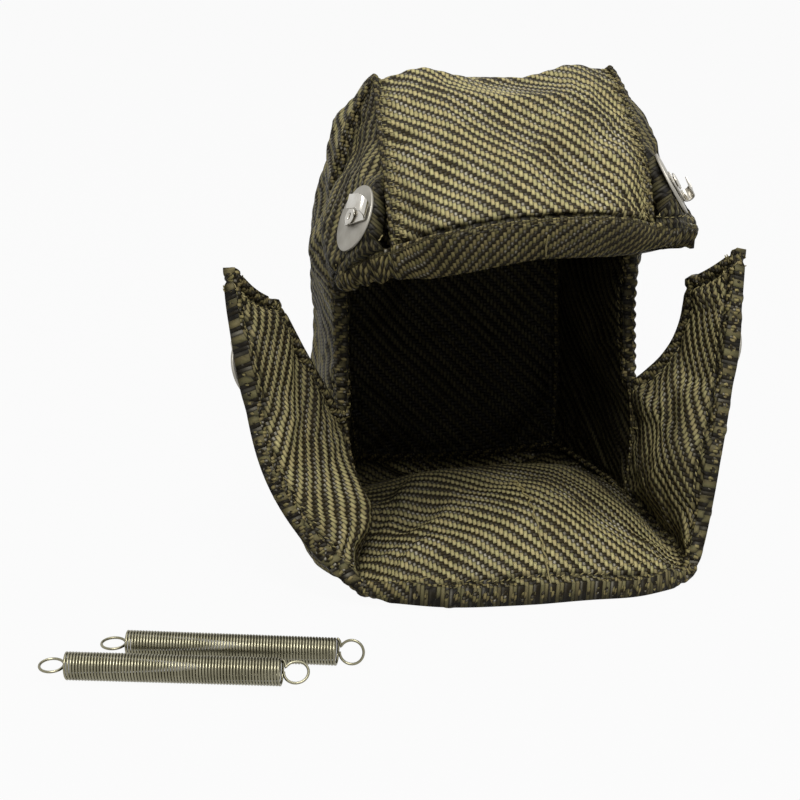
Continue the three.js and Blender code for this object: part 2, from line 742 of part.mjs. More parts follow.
function addHook(rivet) {
  const h = hardware;
  const lift = rivet.normal.clone();
  const turn = THREE.MathUtils.degToRad(rivet.turn);
  const along = rivet.down.clone().negate().applyAxisAngle(lift, turn);
  const sideways = lift.clone().cross(along).normalize();
  const frame = new THREE.Matrix4().makeBasis(along, sideways, lift).setPosition(rivet.centre);
  const place = (geometry, height) => geometry.translate(0, 0, height).applyMatrix4(frame);
  const boreRadius = h.shankRadius + h.boreGap;
  const washerLow = rivet.outerSeat + h.seatGap;
  const stripLow = washerLow + h.washerThickness + h.seatGap;
  const headLow = stripLow + h.stripThickness + h.seatGap;
  const backTop = -rivet.innerSeat - h.seatGap;
  const backLow = backTop - h.backingThickness;
  const rollTop = backLow - h.seatGap;
  const washerRing = ringProfile(boreRadius, h.washerRadius, 0, h.washerThickness, h.washerBevel);
  const washer = turned(washerRing, flats.washer);
  addPiece(`${rivet.name}_washer`, place(washer, washerLow), looks.washer);
  addPiece(`${rivet.name}_hook`, place(hookStrip(), stripLow), looks.steel);
  const backingRing = ringProfile(boreRadius, h.backingRadius, 0, h.backingThickness, h.washerBevel);
  const backing = turned(backingRing, flats.backing);
  addPiece(`${rivet.name}_backing_washer`, place(backing, backLow), looks.washer);
  const rivetProfile = [
    [h.boreRadius, rollTop - h.headThickness], [h.headRadius, rollTop - h.headThickness],
    [h.headRadius, rollTop], [h.shankRadius, rollTop], [h.shankRadius, headLow],
    [h.headRadius, headLow], [h.headRadius - h.headChamfer, headLow + h.headThickness],
    [h.boreRadius, headLow + h.headThickness], [h.boreRadius, rollTop - h.headThickness],
  ].map(([r, z]) => new THREE.Vector2(r, z));
  addPiece(`${rivet.name}_rivet`, place(turned(rivetProfile, flats.rivet), 0), looks.steel);
}

for (const pad of pads) pad.rivets.forEach((rivet) => addHook(rivet));

// Coil springs.

// A wire of four-sided section swept along a row of points.
function wireAlong(points, wire) {
  const frames = [];
  let across = new THREE.Vector3(0, 0, 1);
  points.forEach((point, k) => {
    const before = points[Math.max(k - 1, 0)];
    const after = points[Math.min(k + 1, points.length - 1)];
    const tangent = after.clone().sub(before).normalize();
    across = across.clone().addScaledVector(tangent, -across.dot(tangent)).normalize();
    frames.push({ point, across, up: tangent.clone().cross(across) });
  });
  const positions = [];
  for (const { point, across: a, up } of frames) {
    for (let c = 0; c < flats.wire; c++) {
      const angle = (2 * Math.PI * (c + 0.5)) / flats.wire;
      const edge = point.clone()
        .addScaledVector(a, (Math.cos(angle) * wire) / Math.SQRT2)
        .addScaledVector(up, (Math.sin(angle) * wire) / Math.SQRT2);
      positions.push(...edge.toArray());
    }
  }
  const faces = [0, 2, 1, 0, 3, 2];
  const last = flats.wire * (frames.length - 1);
  for (let k = 0; k < frames.length - 1; k++) {
    for (let c = 0; c < flats.wire; c++) {
      const a = flats.wire * k + c;
      const b = flats.wire * k + ((c + 1) % flats.wire);
      faces.push(a, b, b + flats.wire, a, b + flats.wire, a + flats.wire);
    }
  }
  faces.push(last, last + 1, last + 2, last, last + 2, last + 3);
  return outwardGeometry(positions, faces);
}

// An end loop: the wire leaves the coil, crosses to its middle and rounds a full eye.
function endLoop(radius, eye, roll) {
  const points = [];
  const start = new THREE.Vector3(0, radius, 0);
  const neck = new THREE.Vector3(spring.wire * spring.neckBend, radius * spring.neckBend, 0);
  points.push(start, neck);
  const centre = spring.wire * spring.neckBend + eye;
  for (let k = 1; k < spring.loopSteps; k++) {
    const angle = spring.loopStart - (spring.loopSweep * k) / spring.loopSteps;
    points.push(new THREE.Vector3(centre + eye * Math.cos(angle), eye * Math.sin(angle), 0));
  }
  const axis = new THREE.Vector3(1, 0, 0);
  return points.map((point) => point.applyAxisAngle(axis, roll));
}

function coilSpring(place) {
  const radius = (spring.coilDiameter - spring.wire) / 2;
  const eye = (spring.loopDiameter - spring.wire) / 2;
  const pitch = spring.wire + spring.coilGap;
  const turns = Math.floor(spring.coilLength / pitch);
  const length = turns * pitch;
  const startRoll = THREE.MathUtils.degToRad(place.startRoll);
  const endRoll = THREE.MathUtils.degToRad(place.endRoll);
  const steps = turns * spring.turnSteps;
  const sweep = 2 * Math.PI * turns + (endRoll - startRoll);
  const points = endLoop(radius, eye, startRoll).reverse()
    .map((point) => new THREE.Vector3(-length / 2 - point.x, point.y, point.z));
  points.pop();
  for (let k = 0; k <= steps; k++) {
    const angle = startRoll + (sweep * k) / steps;
    const along = -length / 2 + (length * k) / steps;
    points.push(new THREE.Vector3(along, radius * Math.cos(angle), radius * Math.sin(angle)));
  }
  const tail = endLoop(radius, eye, endRoll).map((point) => point.setX(point.x + length / 2));
  points.push(...tail.slice(1));
  const mesh = addPiece(place.name, wireAlong(points, spring.wire), looks.spring);
  mesh.position.set(place.x, place.y, spring.coilDiameter / 2);
  mesh.rotation.z = THREE.MathUtils.degToRad(place.heading);
}

springPlaces.forEach((place) => coilSpring(place));

export default blanket;
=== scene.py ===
"""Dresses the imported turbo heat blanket: quilted twill pads, rolled hems, hooks and coil springs."""

import logging
import math
from dataclasses import dataclass, field
from enum import Enum

import bpy
import numpy as np
from mathutils import Matrix, Vector

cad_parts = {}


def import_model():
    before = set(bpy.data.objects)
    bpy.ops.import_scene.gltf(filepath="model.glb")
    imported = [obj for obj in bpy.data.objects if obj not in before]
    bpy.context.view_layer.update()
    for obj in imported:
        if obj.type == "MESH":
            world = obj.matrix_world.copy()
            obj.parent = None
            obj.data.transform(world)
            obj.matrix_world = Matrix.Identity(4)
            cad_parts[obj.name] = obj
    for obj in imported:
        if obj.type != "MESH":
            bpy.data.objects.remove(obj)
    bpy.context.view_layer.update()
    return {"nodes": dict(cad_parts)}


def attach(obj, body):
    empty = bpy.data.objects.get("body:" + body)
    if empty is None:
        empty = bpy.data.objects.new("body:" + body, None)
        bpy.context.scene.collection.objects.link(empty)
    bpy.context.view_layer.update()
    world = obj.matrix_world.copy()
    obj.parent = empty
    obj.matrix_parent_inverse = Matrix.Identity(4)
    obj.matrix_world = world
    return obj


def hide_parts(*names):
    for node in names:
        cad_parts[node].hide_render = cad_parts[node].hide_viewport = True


LOG = logging.getLogger("heat_blanket")

MM = 0.001
HOLLOW_CENTRE = np.array([0.0, -10.0, 100.0])
BODY = "root"


class Slot(Enum):
    """The record's material slots."""

    COVER = "cover_cloth"
    BINDING = "binding"
    WASHER = "washer_steel"
    HOOK = "hook_steel"
    SPRING = "spring_steel"


class Axis(Enum):
    """The two ways along a pad's grid."""

    DOWN = 0
    ACROSS = 1


# Plain helpers for vectors, noise and meshes


def unit(vectors: np.ndarray) -> np.ndarray:
    """Returns the vectors scaled to length one along their last axis."""
    length = np.linalg.norm(vectors, axis=-1, keepdims=True)
    return vectors / np.maximum(length, 1e-9)


def lattice(cell: np.ndarray, seed: int) -> np.ndarray:
    """A repeatable value from 0 to 1 for each whole-number cell.

    Args:
        cell: Whole-number coordinates, three to a row.
        seed: Picks one of many fields.

    Returns:
        One value for each cell.
    """
    mixed = np.sin(cell @ np.array([127.1, 311.7, 74.7]) + seed * 19.19) * 43758.5453
    return mixed - np.floor(mixed)


def value_noise(points: np.ndarray, wavelength: float, seed: int = 0) -> np.ndarray:
    """Smooth noise from -1 to 1 at points in space.

    Args:
        points: Positions in millimetres, three to a row.
        wavelength: The size of its lumps in millimetres.
        seed: Picks one of many fields.

    Returns:
        One value for each point.
    """
    scaled = points / wavelength
    base = np.floor(scaled)
    part = scaled - base
    ease = part * part * (3 - 2 * part)
    total = np.zeros(points.shape[:-1])
    for corner in np.ndindex(2, 2, 2):
        step = np.array(corner)
        weight = np.prod(np.where(step == 1, ease, 1 - ease), axis=-1)
        total += weight * lattice(base + step, seed)
    return total * 2 - 1


def smooth_step(value: np.ndarray, low: float, high: float) -> np.ndarray:
    """Rises from 0 at low to 1 at high without a kink."""
    part = np.clip((value - low) / (high - low), 0, 1)
    return part * part * (3 - 2 * part)


def make_object(name: str, points: np.ndarray, faces: np.ndarray) -> bpy.types.Object:
    """Makes an object from points in millimetres and faces of one size.

    Args:
        name: The piece's name.
        points: Positions, three to a row.
        faces: Point numbers, one face to a row.

    Returns:
        The linked object, with its place in its mesh.
    """
    mesh = bpy.data.meshes.new(name)
    corners = faces.shape[1]
    mesh.vertices.add(len(points))
    mesh.vertices.foreach_set("co", (points * MM).astype(np.float32).ravel())
    mesh.loops.add(faces.size)
    mesh.loops.foreach_set("vertex_index", faces.astype(np.int32).ravel())
    mesh.polygons.add(len(faces))
    mesh.polygons.foreach_set("loop_start", np.arange(0, faces.size, corners, dtype=np.int32))
    mesh.update(calc_edges=True)
    mesh.validate()
    piece = bpy.data.objects.new(name, mesh)
    bpy.context.scene.collection.objects.link(piece)
    return piece


def paint_uv(piece: bpy.types.Object, uv: np.ndarray) -> None:
    """Lays a UV map, in millimetres of cloth, on every corner of a piece.

    Args:
        piece: The object to map.
        uv: Two values for each vertex.
    """
    mesh = piece.data
    layer = mesh.uv_layers.new(name="cloth_mm")
    corner = np.zeros(len(mesh.loops), dtype=np.int32)
    mesh.loops.foreach_get("vertex_index", corner)
    layer.data.foreach_set("uv", uv[corner].astype(np.float32).ravel())


def paint_shade(piece: bpy.types.Object, tone: np.ndarray) -> None:
    """Keeps each vertex's painted shade as the attribute tone, from 0 fully shaded to 1 unshaded."""
    layer = piece.data.attributes.new("tone", "FLOAT", "POINT")
    layer.data.foreach_set("value", np.clip(tone, 0, 1).astype(np.float32).ravel())


def spun_ring(name: str, section: list, steps: int) -> bpy.types.Object:
    """Spins a closed section round the z axis at the world's origin.

    Args:
        name: The piece's name.
        section: Corners as (radius, height) in millimetres.
        steps: How many flats go round.

    Returns:
        The closed ring.
    """
    bpy.ops.object.select_all(action="DESELECT")
    bpy.ops.mesh.primitive_plane_add(size=1)
    piece = bpy.context.object
    piece.name = name
    mesh = piece.data
    mesh.clear_geometry()
    count = len(section)
    edges = [(k, (k + 1) % count) for k in range(count)]
    mesh.from_pydata([(r * MM, 0, z * MM) for r, z in section], edges, [])
    bpy.ops.object.mode_set(mode="EDIT")
    bpy.ops.mesh.select_all(action="SELECT")
    bpy.ops.mesh.spin(steps=steps, angle=2 * math.pi, center=(0, 0, 0), axis=(0, 0, 1))
    bpy.ops.mesh.select_all(action="SELECT")
    bpy.ops.mesh.remove_doubles(threshold=1e-6)
    bpy.ops.mesh.normals_make_consistent(inside=False)
    bpy.ops.object.mode_set(mode="OBJECT")
    make_outward(piece)
    return piece


def select_only(piece: bpy.types.Object) -> None:
    """Selects one object and makes it active."""
    bpy.ops.object.select_all(action="DESELECT")
    piece.select_set(True)
    bpy.context.view_layer.objects.active = piece


def shade_smooth(piece: bpy.types.Object) -> None:
    """Gives every face of a piece smooth shading."""
    piece.data.polygons.foreach_set("use_smooth", [True] * len(piece.data.polygons))


def hand_in(piece: bpy.types.Object, slot: Slot, material: bpy.types.Material, *nodes: str) -> None:
    """Puts a finished piece on the body, with its finish and the CAD nodes it stands for.

    Args:
        piece: The finished object.
        slot: The record's material slot; not used.
        material: The finish.
        nodes: Names of the CAD nodes that it replaces.
    """
    piece.data.materials.clear()
    piece.data.materials.append(material)
    if nodes:
        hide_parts(*nodes)
    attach(piece, BODY)
    LOG.info("%s: %d faces", piece.name, len(piece.data.polygons))


# The cutting pattern: corners, seams and pads, as the part's own source has them


@dataclass(frozen=True)
class SideCut:
    """Sewn corners of one side, each (distance from the middle plane, y, z)."""

    name: str
    side: int
    back_top: tuple
    back_foot: tuple
    crest: tuple
    brow: tuple
    cheek: tuple
    jamb_top: tuple
    crotch: tuple
    root: tuple
    lip_corner: tuple
    wing_tip: tuple
    wing_heel: tuple
    edge_bow: tuple
    heel_bow: tuple
    root_fullness: float

    def at(self, place: tuple) -> np.ndarray:
        """Turns a corner or an offset into a point on this side."""
        return np.array([self.side * place[0], place[1], place[2]], float)


LEFT = SideCut(
    "left", -1, back_top=(46, 78, 186), back_foot=(52, 72, 15), crest=(54, 2, 212),
    brow=(60, -67, 148), cheek=(78, -46, 132), jamb_top=(74, -10, 134), crotch=(73, -10, 60),
    root=(64, -16, 17), lip_corner=(77, -84, 8), wing_tip=(127, -44, 138),
    wing_heel=(106, -24, 121), edge_bow=(16, -2, -10), heel_bow=(0, 0, -2), root_fullness=1.6,
)
RIGHT = SideCut(
    "right", 1, back_top=(46, 78, 186), back_foot=(52, 72, 15), crest=(52, 2, 213),
    brow=(50, -67, 153), cheek=(79, -44, 143), jamb_top=(63, -10, 131), crotch=(64, -10, 70),
    root=(61, -16, 17), lip_corner=(69, -84, 5), wing_tip=(101, -44, 139),
    wing_heel=(85, -22, 122), edge_bow=(2, -2, -6), heel_bow=(8, 0, -6), root_fullness=1.4,
)

SEAM_THICKNESS = 3.4
HEM_THICKNESS = 6.0
LIP_THICKNESS = 9.0
RIM_THICKNESS = 14.0


@dataclass(frozen=True)
class Run:
    """One bowed stretch of a seam."""

    start: np.ndarray
    end: np.ndarray
    offset: np.ndarray
    cells: int
    thickness: float = SEAM_THICKNESS

    def point(self, part: np.ndarray) -> np.ndarray:
        """Returns the points at shares of the stretch from 0 to 1."""
        control = (self.start + self.end) / 2 + 2 * self.offset
        t = part[:, None]
        return (1 - t) ** 2 * self.start + 2 * t * (1 - t) * control + t**2 * self.end


@dataclass(frozen=True)
class Seam:
    """Stretches end to end, in steps of quilting cells."""

    runs: tuple

    @property
    def cells(self) -> int:
        """The number of quilting cells along the seam."""
        return sum(run.cells for run in self.runs)

    def chain(self, *others: "Seam") -> "Seam":
        """Returns this seam with others sewn on to its end."""
        return Seam(sum((other.runs for other in others), self.runs))

    def back(self) -> "Seam":
        """Returns the same seam from its other end."""
        flipped = [Run(r.end, r.start, r.offset, r.cells, r.thickness) for r in self.runs[::-1]]
        return Seam(tuple(flipped))

    def station_thickness(self) -> np.ndarray:
        """Returns the quilt's thickness at each whole cell, the thinner one where runs meet."""
        rows = [np.full(run.cells + 1, run.thickness) for run in self.runs]
        joined = rows[0]
        for row in rows[1:]:
            meeting = min(joined[-1], row[0])
            joined = np.concatenate([joined[:-1], [meeting], row[1:]])
        return joined

    def sample(self, steps: int) -> tuple[np.ndarray, np.ndarray]:
        """Points and thicknesses at equal shares of the seam's cells.

        Args:
            steps: The number of steps.

        Returns:
            The points and the thickness at each.
        """
        place = np.linspace(0, self.cells, steps + 1)
        points = np.zeros((steps + 1, 3))
        first = 0
        for run in self.runs:
            inside = (place >= first - 1e-9) & (place <= first + run.cells + 1e-9)
            points[inside] = run.point((place[inside] - first) / run.cells)
            first += run.cells
        thickness = np.interp(place, np.arange(self.cells + 1), self.station_thickness())
        return points, thickness


class Pattern:
    """All seams of the blanket."""

    across, crown, brow, temple, jamb, gusset, heel, keel = 8, 3, 5, 5, 3, 3, 5, 5

    def __init__(self) -> None:
        """Cuts both sides and the seams that cross between them."""
        self.left = self.side(LEFT)
        self.right = self.side(RIGHT)
        self.back_top = self.cross(LEFT.back_top, RIGHT.back_top, (0, 4, 0))
        self.back_foot = self.cross(LEFT.back_foot, RIGHT.back_foot, (0, 6, -5))
        self.rim = self.cross(LEFT.brow, RIGHT.brow, (0, -17, 7), RIM_THICKNESS)
        self.lip = self.cross(LEFT.lip_corner, RIGHT.lip_corner, (0, -13, -2), LIP_THICKNESS)

    def cross(self, left: tuple, right: tuple, bow: tuple, thickness: float = SEAM_THICKNESS) -> Seam:
        """Returns a seam that crosses from side to side."""
        ends = (LEFT.at(left), RIGHT.at(right))
        return Seam((Run(*ends, np.array(bow, float), self.across, thickness),))

    def side(self, cut: SideCut) -> dict[str, Seam]:
        """Returns the seams of one side by name."""

        def line(start: tuple, end: tuple, bow: tuple, cells: int, thick: float = SEAM_THICKNESS) -> Seam:
            """Returns one stretch between two corners."""
            return Seam((Run(cut.at(start), cut.at(end), cut.at(bow), cells, thick),))

        wall_cells = self.temple + self.jamb + self.gusset
        edge_cells = self.heel + self.gusset
        rim = RIM_THICKNESS / 2
        return {
            "back_side": line(cut.back_top, cut.back_foot, (6, 8, 0), wall_cells),
            "crown": line(cut.back_top, cut.crest, (3, 0, 1), self.crown),
            "brow": line(cut.crest, cut.brow, (2, -7, 3), self.brow),
            "temple": line(cut.crest, cut.jamb_top, (9, -2, 2), self.temple),
            "cheek": line(cut.brow, cut.cheek, (4, -2, 2), self.temple, rim),
            "jaw": line(cut.jamb_top, cut.cheek, (2, 0, 0), self.brow, HEM_THICKNESS),
            "jamb": line(cut.jamb_top, cut.crotch, (-1, 2, 0), self.jamb, HEM_THICKNESS),
            "gusset": line(cut.crotch, cut.root, (2, -3, 0), self.gusset),
            "floor": line(cut.back_foot, cut.root, (6, 0, -3), self.crown),
            "keel": line(cut.root, cut.lip_corner, (6, 0, -4), self.keel),
            "wing_heel": line(cut.wing_heel, cut.crotch, cut.heel_bow, self.heel, HEM_THICKNESS),
            "wing_top": line(cut.wing_heel, cut.wing_tip, (0, 0, -2), self.keel, HEM_THICKNESS),
            "wing_edge": line(cut.wing_tip, cut.lip_corner, cut.edge_bow, edge_cells, HEM_THICKNESS),
        }


def rounded_key(point: np.ndarray) -> tuple:
    """Names a point on a seam, so that pads that meet there find each other."""
    return tuple(np.round(point, 2) + 0.0)


class Leanings:
    """How the quilt leans at each station of each seam: the mean of the pads that meet there."""

    def __init__(self) -> None:
        """Starts with no station known."""
        self.sums: dict[tuple, np.ndarray] = {}
        self.seen: set[tuple] = set()

    def gather(self, pad: "QuiltPad") -> None:
        """Adds one pad's normals along its four seams."""
        middle, normals = pad.middle(pad.north.cells, pad.west.cells)
        for row in (np.s_[0, :], np.s_[-1, :], np.s_[:, 0], np.s_[:, -1]):
            for point, normal in zip(middle[row], normals[row], strict=True):
                key = rounded_key(point)
                if (pad.name, key) not in self.seen:
                    self.seen.add((pad.name, key))
                    self.sums[key] = self.sums.get(key, np.zeros(3)) + normal

    def along(self, seam: Seam, steps: int) -> np.ndarray:
        """Returns the leaning at equal shares of a seam."""
        stations, _ = seam.sample(seam.cells)
        known = np.array([unit(self.sums[rounded_key(point)]) for point in stations])
        place = np.linspace(0, seam.cells, steps + 1)
        mixed = [np.interp(place, np.arange(seam.cells + 1), known[:, axis]) for axis in range(3)]
        return unit(np.stack(mixed, axis=-1))


def catmull_rom(coarse: int, fine: int) -> np.ndarray:
    """The weights that turn coarse + 1 points into fine + 1 points on a smooth line.

    Args:
        coarse: Steps in the coarse row.
        fine: Steps in the fine row.

    Returns:
        A matrix with a row for each fine point.
    """
    weights = np.zeros((fine + 1, coarse + 1))
    place = np.linspace(0, coarse, fine + 1)
    first = np.minimum(place.astype(int), coarse - 1)
    t = place - first
    shares = (
        -0.5 * t + t**2 - 0.5 * t**3,
        1 - 2.5 * t**2 + 1.5 * t**3,
        0.5 * t + 2 * t**2 - 1.5 * t**3,
        -0.5 * t**2 + 0.5 * t**3,
    )
    rows = np.arange(fine + 1)
    for step, share in zip((-1, 0, 1, 2), shares, strict=True):
        target = first + step
        low, high = target < 0, target > coarse
        inside = ~low & ~high
        np.add.at(weights, (rows[inside], target[inside]), share[inside])
        np.add.at(weights, (rows[low], 0), 2 * share[low])
        np.add.at(weights, (rows[low], 1), -share[low])
        np.add.at(weights, (rows[high], coarse), 2 * share[high])
        np.add.at(weights, (rows[high], coarse - 1), -share[high])
    return weights


def refine(grid: np.ndarray, down: int, across: int) -> np.ndarray:
    """Returns a grid of points made finer on smooth lines."""
    rows = catmull_rom(grid.shape[0] - 1, down)
    columns = catmull_rom(grid.shape[1] - 1, across)
    return np.einsum("ai,ijk,bj->abk", rows, grid, columns)


@dataclass(frozen=True)
class Weave:
    """A two-by-two twill of coarse yarn."""

    pitch: float = 2.0
    wale: float = 0.2

    def relief(self, uv: np.ndarray) -> np.ndarray:
        """Returns the height of the diagonal wales at places on the cloth."""
        return self.wale * np.cos(2 * np.pi * (uv[..., 0] - uv[..., 1]) / (4 * self.pitch))


WEAVE = Weave()


class Face(Enum):
    """A side of the quilt."""

    OUTER = 0
    INNER = 1
    BOTH = 2


@dataclass
class Press:
    """A place where a hand or a fold has pushed the quilt: a soft round push along one way."""

    centre: tuple
    push: tuple
    radius: float
    face: Face = Face.BOTH

    def move(self, points: np.ndarray) -> np.ndarray:
        """Returns how far the push moves each point."""
        away = np.linalg.norm(points - np.array(self.centre, float), axis=-1) / self.radius
        return np.exp(-(away**2))[..., None] * np.array(self.push, float)


@dataclass
class QuiltPad:
    """One quilted pad: a closed shell of cloth, thin at its seams and full between them."""

    name: str
    north: Seam
    south: Seam
    west: Seam
    east: Seam
    thickness: float
    swell: float
    softness: float = 12.0
    on_floor: bool = False
    south_fullness: float = 1.0
    fill: float = 0.6
    cloth_step: float = 3.6
    yarn_step: float = 0.8
    puff: float = 3.0
    slack: float = 0.06
    billow_share: float = 0.5
    cap: float = 5.0
    crease: float = 0.6
    # Painted shade levels: of the outer and inner faces, and of the inner face deep in the hollow, from
    # hollow_from to hollow_to.
    outer_tone: float = 0.9
    inner_tone: float = 0.9
    hollow_shade: float = 0.3
    hollow_from: float = -34.0
    hollow_to: float = 6.0
    hem_depth: float = 5.0
    groove: float = 1.6
    floor_sag: float = 5.0
    presses: list = field(default_factory=list)
    rivets: list = field(default_factory=list)

    def middle(self, across: int, down: int) -> tuple[np.ndarray, np.ndarray]:
        """The pad's middle surface between its four seams.

        Args:
            across: Steps from west to east.
            down: Steps from north to south.

        Returns:
            The grid of points and their outward normals.
        """
        north, south = self.north.sample(across)[0], self.south.sample(across)[0]
        west, east = self.west.sample(down)[0], self.east.sample(down)[0]
        u = np.linspace(0, 1, across + 1)[None, :, None]
        v = np.linspace(0, 1, down + 1)[:, None, None]
        points = (1 - v) * north[None] + v * south[None] + (1 - u) * west[:, None] + u * east[:, None]
        points -= (1 - u) * (1 - v) * north[0] + u * (1 - v) * north[-1]
        points -= (1 - u) * v * west[-1] + u * v * east[-1]
        normals = self.grid_normals(points)
        centre = (down // 2, across // 2)
        facing = np.dot(normals[centre], points[centre] - HOLLOW_CENTRE)
        flip = -1.0 if facing < 0 else 1.0
        lift = self.swell * np.sin(np.pi * u) * np.sin(np.pi * v)
        points = points + normals * flip * lift
        return points, self.grid_normals(points) * flip

    @staticmethod
    def grid_normals(points: np.ndarray) -> np.ndarray:
        """Returns the unit normals of a grid of points."""
        along = np.gradient(points, axis=Axis.ACROSS.value)
        down = np.gradient(points, axis=Axis.DOWN.value)
        return unit(np.cross(along, down))

    def sheets(self, leanings: Leanings, across: int, down: int) -> tuple[np.ndarray, np.ndarray]:
        """The outer and inner faces of the pad, before the cloth is slack.

        Args:
            leanings: How the quilt leans at the seams.
            across: Steps from west to east.
            down: Steps from north to south.

        Returns:
            Two grids of points.
        """
        points, normals = self.middle(across, down)
        edges = (
            (self.north, across, np.s_[0:1, :], Axis.DOWN),
            (self.south, across, np.s_[-1:, :], Axis.DOWN),
            (self.west, down, np.s_[:, 0:1], Axis.ACROSS),
            (self.east, down, np.s_[:, -1:], Axis.ACROSS),
        )
        fullness = np.ones(points.shape[:2])
        nearest = np.full(points.shape[:2], np.inf)
        lean = np.zeros_like(points)
        for seam, steps, border, way in edges:
            thickness = np.expand_dims(seam.sample(steps)[1], way.value)
            leaning = np.expand_dims(leanings.along(seam, steps), way.value)
            away = np.linalg.norm(points - points[border], axis=-1)
            near = np.exp(-((away / self.softness) ** 2))
            fullness = np.minimum(fullness, 1 - (1 - thickness / self.thickness) * near)
            weight = np.exp(-((away / SEAM_THICKNESS) ** 2))[..., None]
            lean += weight * leaning
            normals = unit(normals * (1 - weight) + leaning * weight)
            nearest = np.minimum(nearest, away)
        down_share = np.linspace(0, 1, down + 1)[:, None]
        free = 1 - np.exp(-((nearest / self.softness) ** 2))
        growth = 1 + (self.south_fullness - 1) * down_share**2 * free
        half = (self.thickness * fullness * growth / 2)[..., None]
        outer, inner = points + normals * half, points - normals * half
        if self.on_floor:
            share = np.sin(np.pi * down_share) * np.sin(np.pi * np.linspace(0, 1, across + 1))[None, :]
            outer[..., 2] = np.maximum(outer[..., 2] - self.floor_sag * share, 0)
        return outer, inner

    @staticmethod
    def shell_faces(across: int, down: int) -> np.ndarray:
        """Faces of a closed shell: the outer grid, the inner grid and the edge between them."""
        size = (across + 1) * (down + 1)
        numbers = np.arange(size).reshape(down + 1, across + 1)
        a, b = numbers[:-1, :-1].ravel(), numbers[:-1, 1:].ravel()
        c, d = numbers[1:, 1:].ravel(), numbers[1:, :-1].ravel()
        outer = np.stack([a, b, c, d], axis=1)
        inner = np.stack([d, c, b, a], axis=1) + size
        ring = np.concatenate([
            numbers[0, :-1], numbers[:-1, -1], numbers[-1, :0:-1], numbers[:0:-1, 0],
        ])
        after = np.roll(ring, -1)
        edge = np.stack([after, ring, ring + size, after + size], axis=1)
        return np.concatenate([outer, inner, edge])

    def flatten_rivets(self, outer: np.ndarray, inner: np.ndarray) -> None:
        """Pulls the quilt flat under each washer.

        Args:
            outer: The outer face, changed in place.
            inner: The inner face, changed in place.
        """
        for rivet in self.rivets:
            for sheet, level in ((outer, rivet.cloth_level), (inner, rivet.cloth_level - rivet.grip)):
                reach = sheet - rivet.centre
                height = reach @ rivet.normal
                radius = np.linalg.norm(reach - height[..., None] * rivet.normal, axis=-1)
                near = (1 - smooth_step(radius, rivet.radius, rivet.radius + 9)) * (np.abs(height) < 25)
                sheet += (near * (level - height))[..., None] * rivet.normal

    def press_in(self, outer: np.ndarray, inner: np.ndarray) -> None:
        """Applies the pushes that give the pad its own folds."""
        for press in self.presses:
            for face, sheet in ((Face.OUTER, outer), (Face.INNER, inner)):
                if press.face in (face, Face.BOTH):
                    sheet += press.move(sheet)

    def billow(self, outer: np.ndarray, inner: np.ndarray) -> tuple[np.ndarray, np.ndarray]:
        """Lets slack cloth billow over the wadding, held at the seams.

        Args:
            outer: The outer face's coarse grid.
            inner: The inner face's coarse grid.

        Returns:
            Both grids after the cloth has settled.
        """
        down, across = outer.shape[0] - 1, outer.shape[1] - 1
        start = np.concatenate([outer.reshape(-1, 3), inner.reshape(-1, 3)])
        cloth = make_object(self.name + "_cloth", start, self.shell_faces(across, down))
        held = np.zeros((down + 1, across + 1), bool)
        held[0], held[-1], held[:, 0], held[:, -1] = True, True, True, True
        both = np.concatenate([held.ravel(), held.ravel()])
        if self.on_floor:
            both[: held.size] = True
        pins = cloth.vertex_groups.new(name="sewn")
        pins.add([int(k) for k in np.flatnonzero(both)], 1.0, "REPLACE")
        modifier = cloth.modifiers.new("Cloth", "CLOTH")
        settings = modifier.settings
        settings.quality = 4
        settings.mass = 0.3
        settings.tension_stiffness = settings.compression_stiffness = 12
        settings.bending_stiffness = 0.6
        settings.use_pressure = True
        settings.uniform_pressure_force = self.puff
        settings.shrink_min = -self.slack
        settings.vertex_group_mass = pins.name
        settings.effector_weights.gravity = 0
        for frame_number in range(1, 21):
            bpy.context.scene.frame_set(frame_number)
        select_only(cloth)
        bpy.ops.object.modifier_apply(modifier=modifier.name)
        bpy.context.scene.frame_set(1)
        settled = np.zeros(len(start) * 3)
        cloth.data.vertices.foreach_get("co", settled)
        move = (settled.reshape(-1, 3) / MM - start) * self.billow_share
        length = np.linalg.norm(move, axis=1, keepdims=True)
        settled = start + move * np.minimum(1, self.cap / np.maximum(length, 1e-6))
        bpy.data.objects.remove(cloth)
        half = len(start) // 2
        return settled[:half].reshape(outer.shape), settled[half:].reshape(inner.shape)

    @staticmethod
    def cloth_place(sheet: np.ndarray) -> np.ndarray:
        """Returns where each point lies on the flat cloth, in millimetres from its middle."""
        down, across = sheet.shape[:2]
        along = np.linalg.norm(np.diff(sheet, axis=1), axis=-1).cumsum(axis=1)
        below = np.linalg.norm(np.diff(sheet, axis=0), axis=-1).cumsum(axis=0)
        u = np.pad(along, ((0, 0), (1, 0)))
        v = np.pad(below, ((1, 0), (0, 0)))
        u -= u[:, across // 2 : across // 2 + 1]
        v -= v[down // 2 : down // 2 + 1, :]
        return np.stack([u, v], axis=-1)

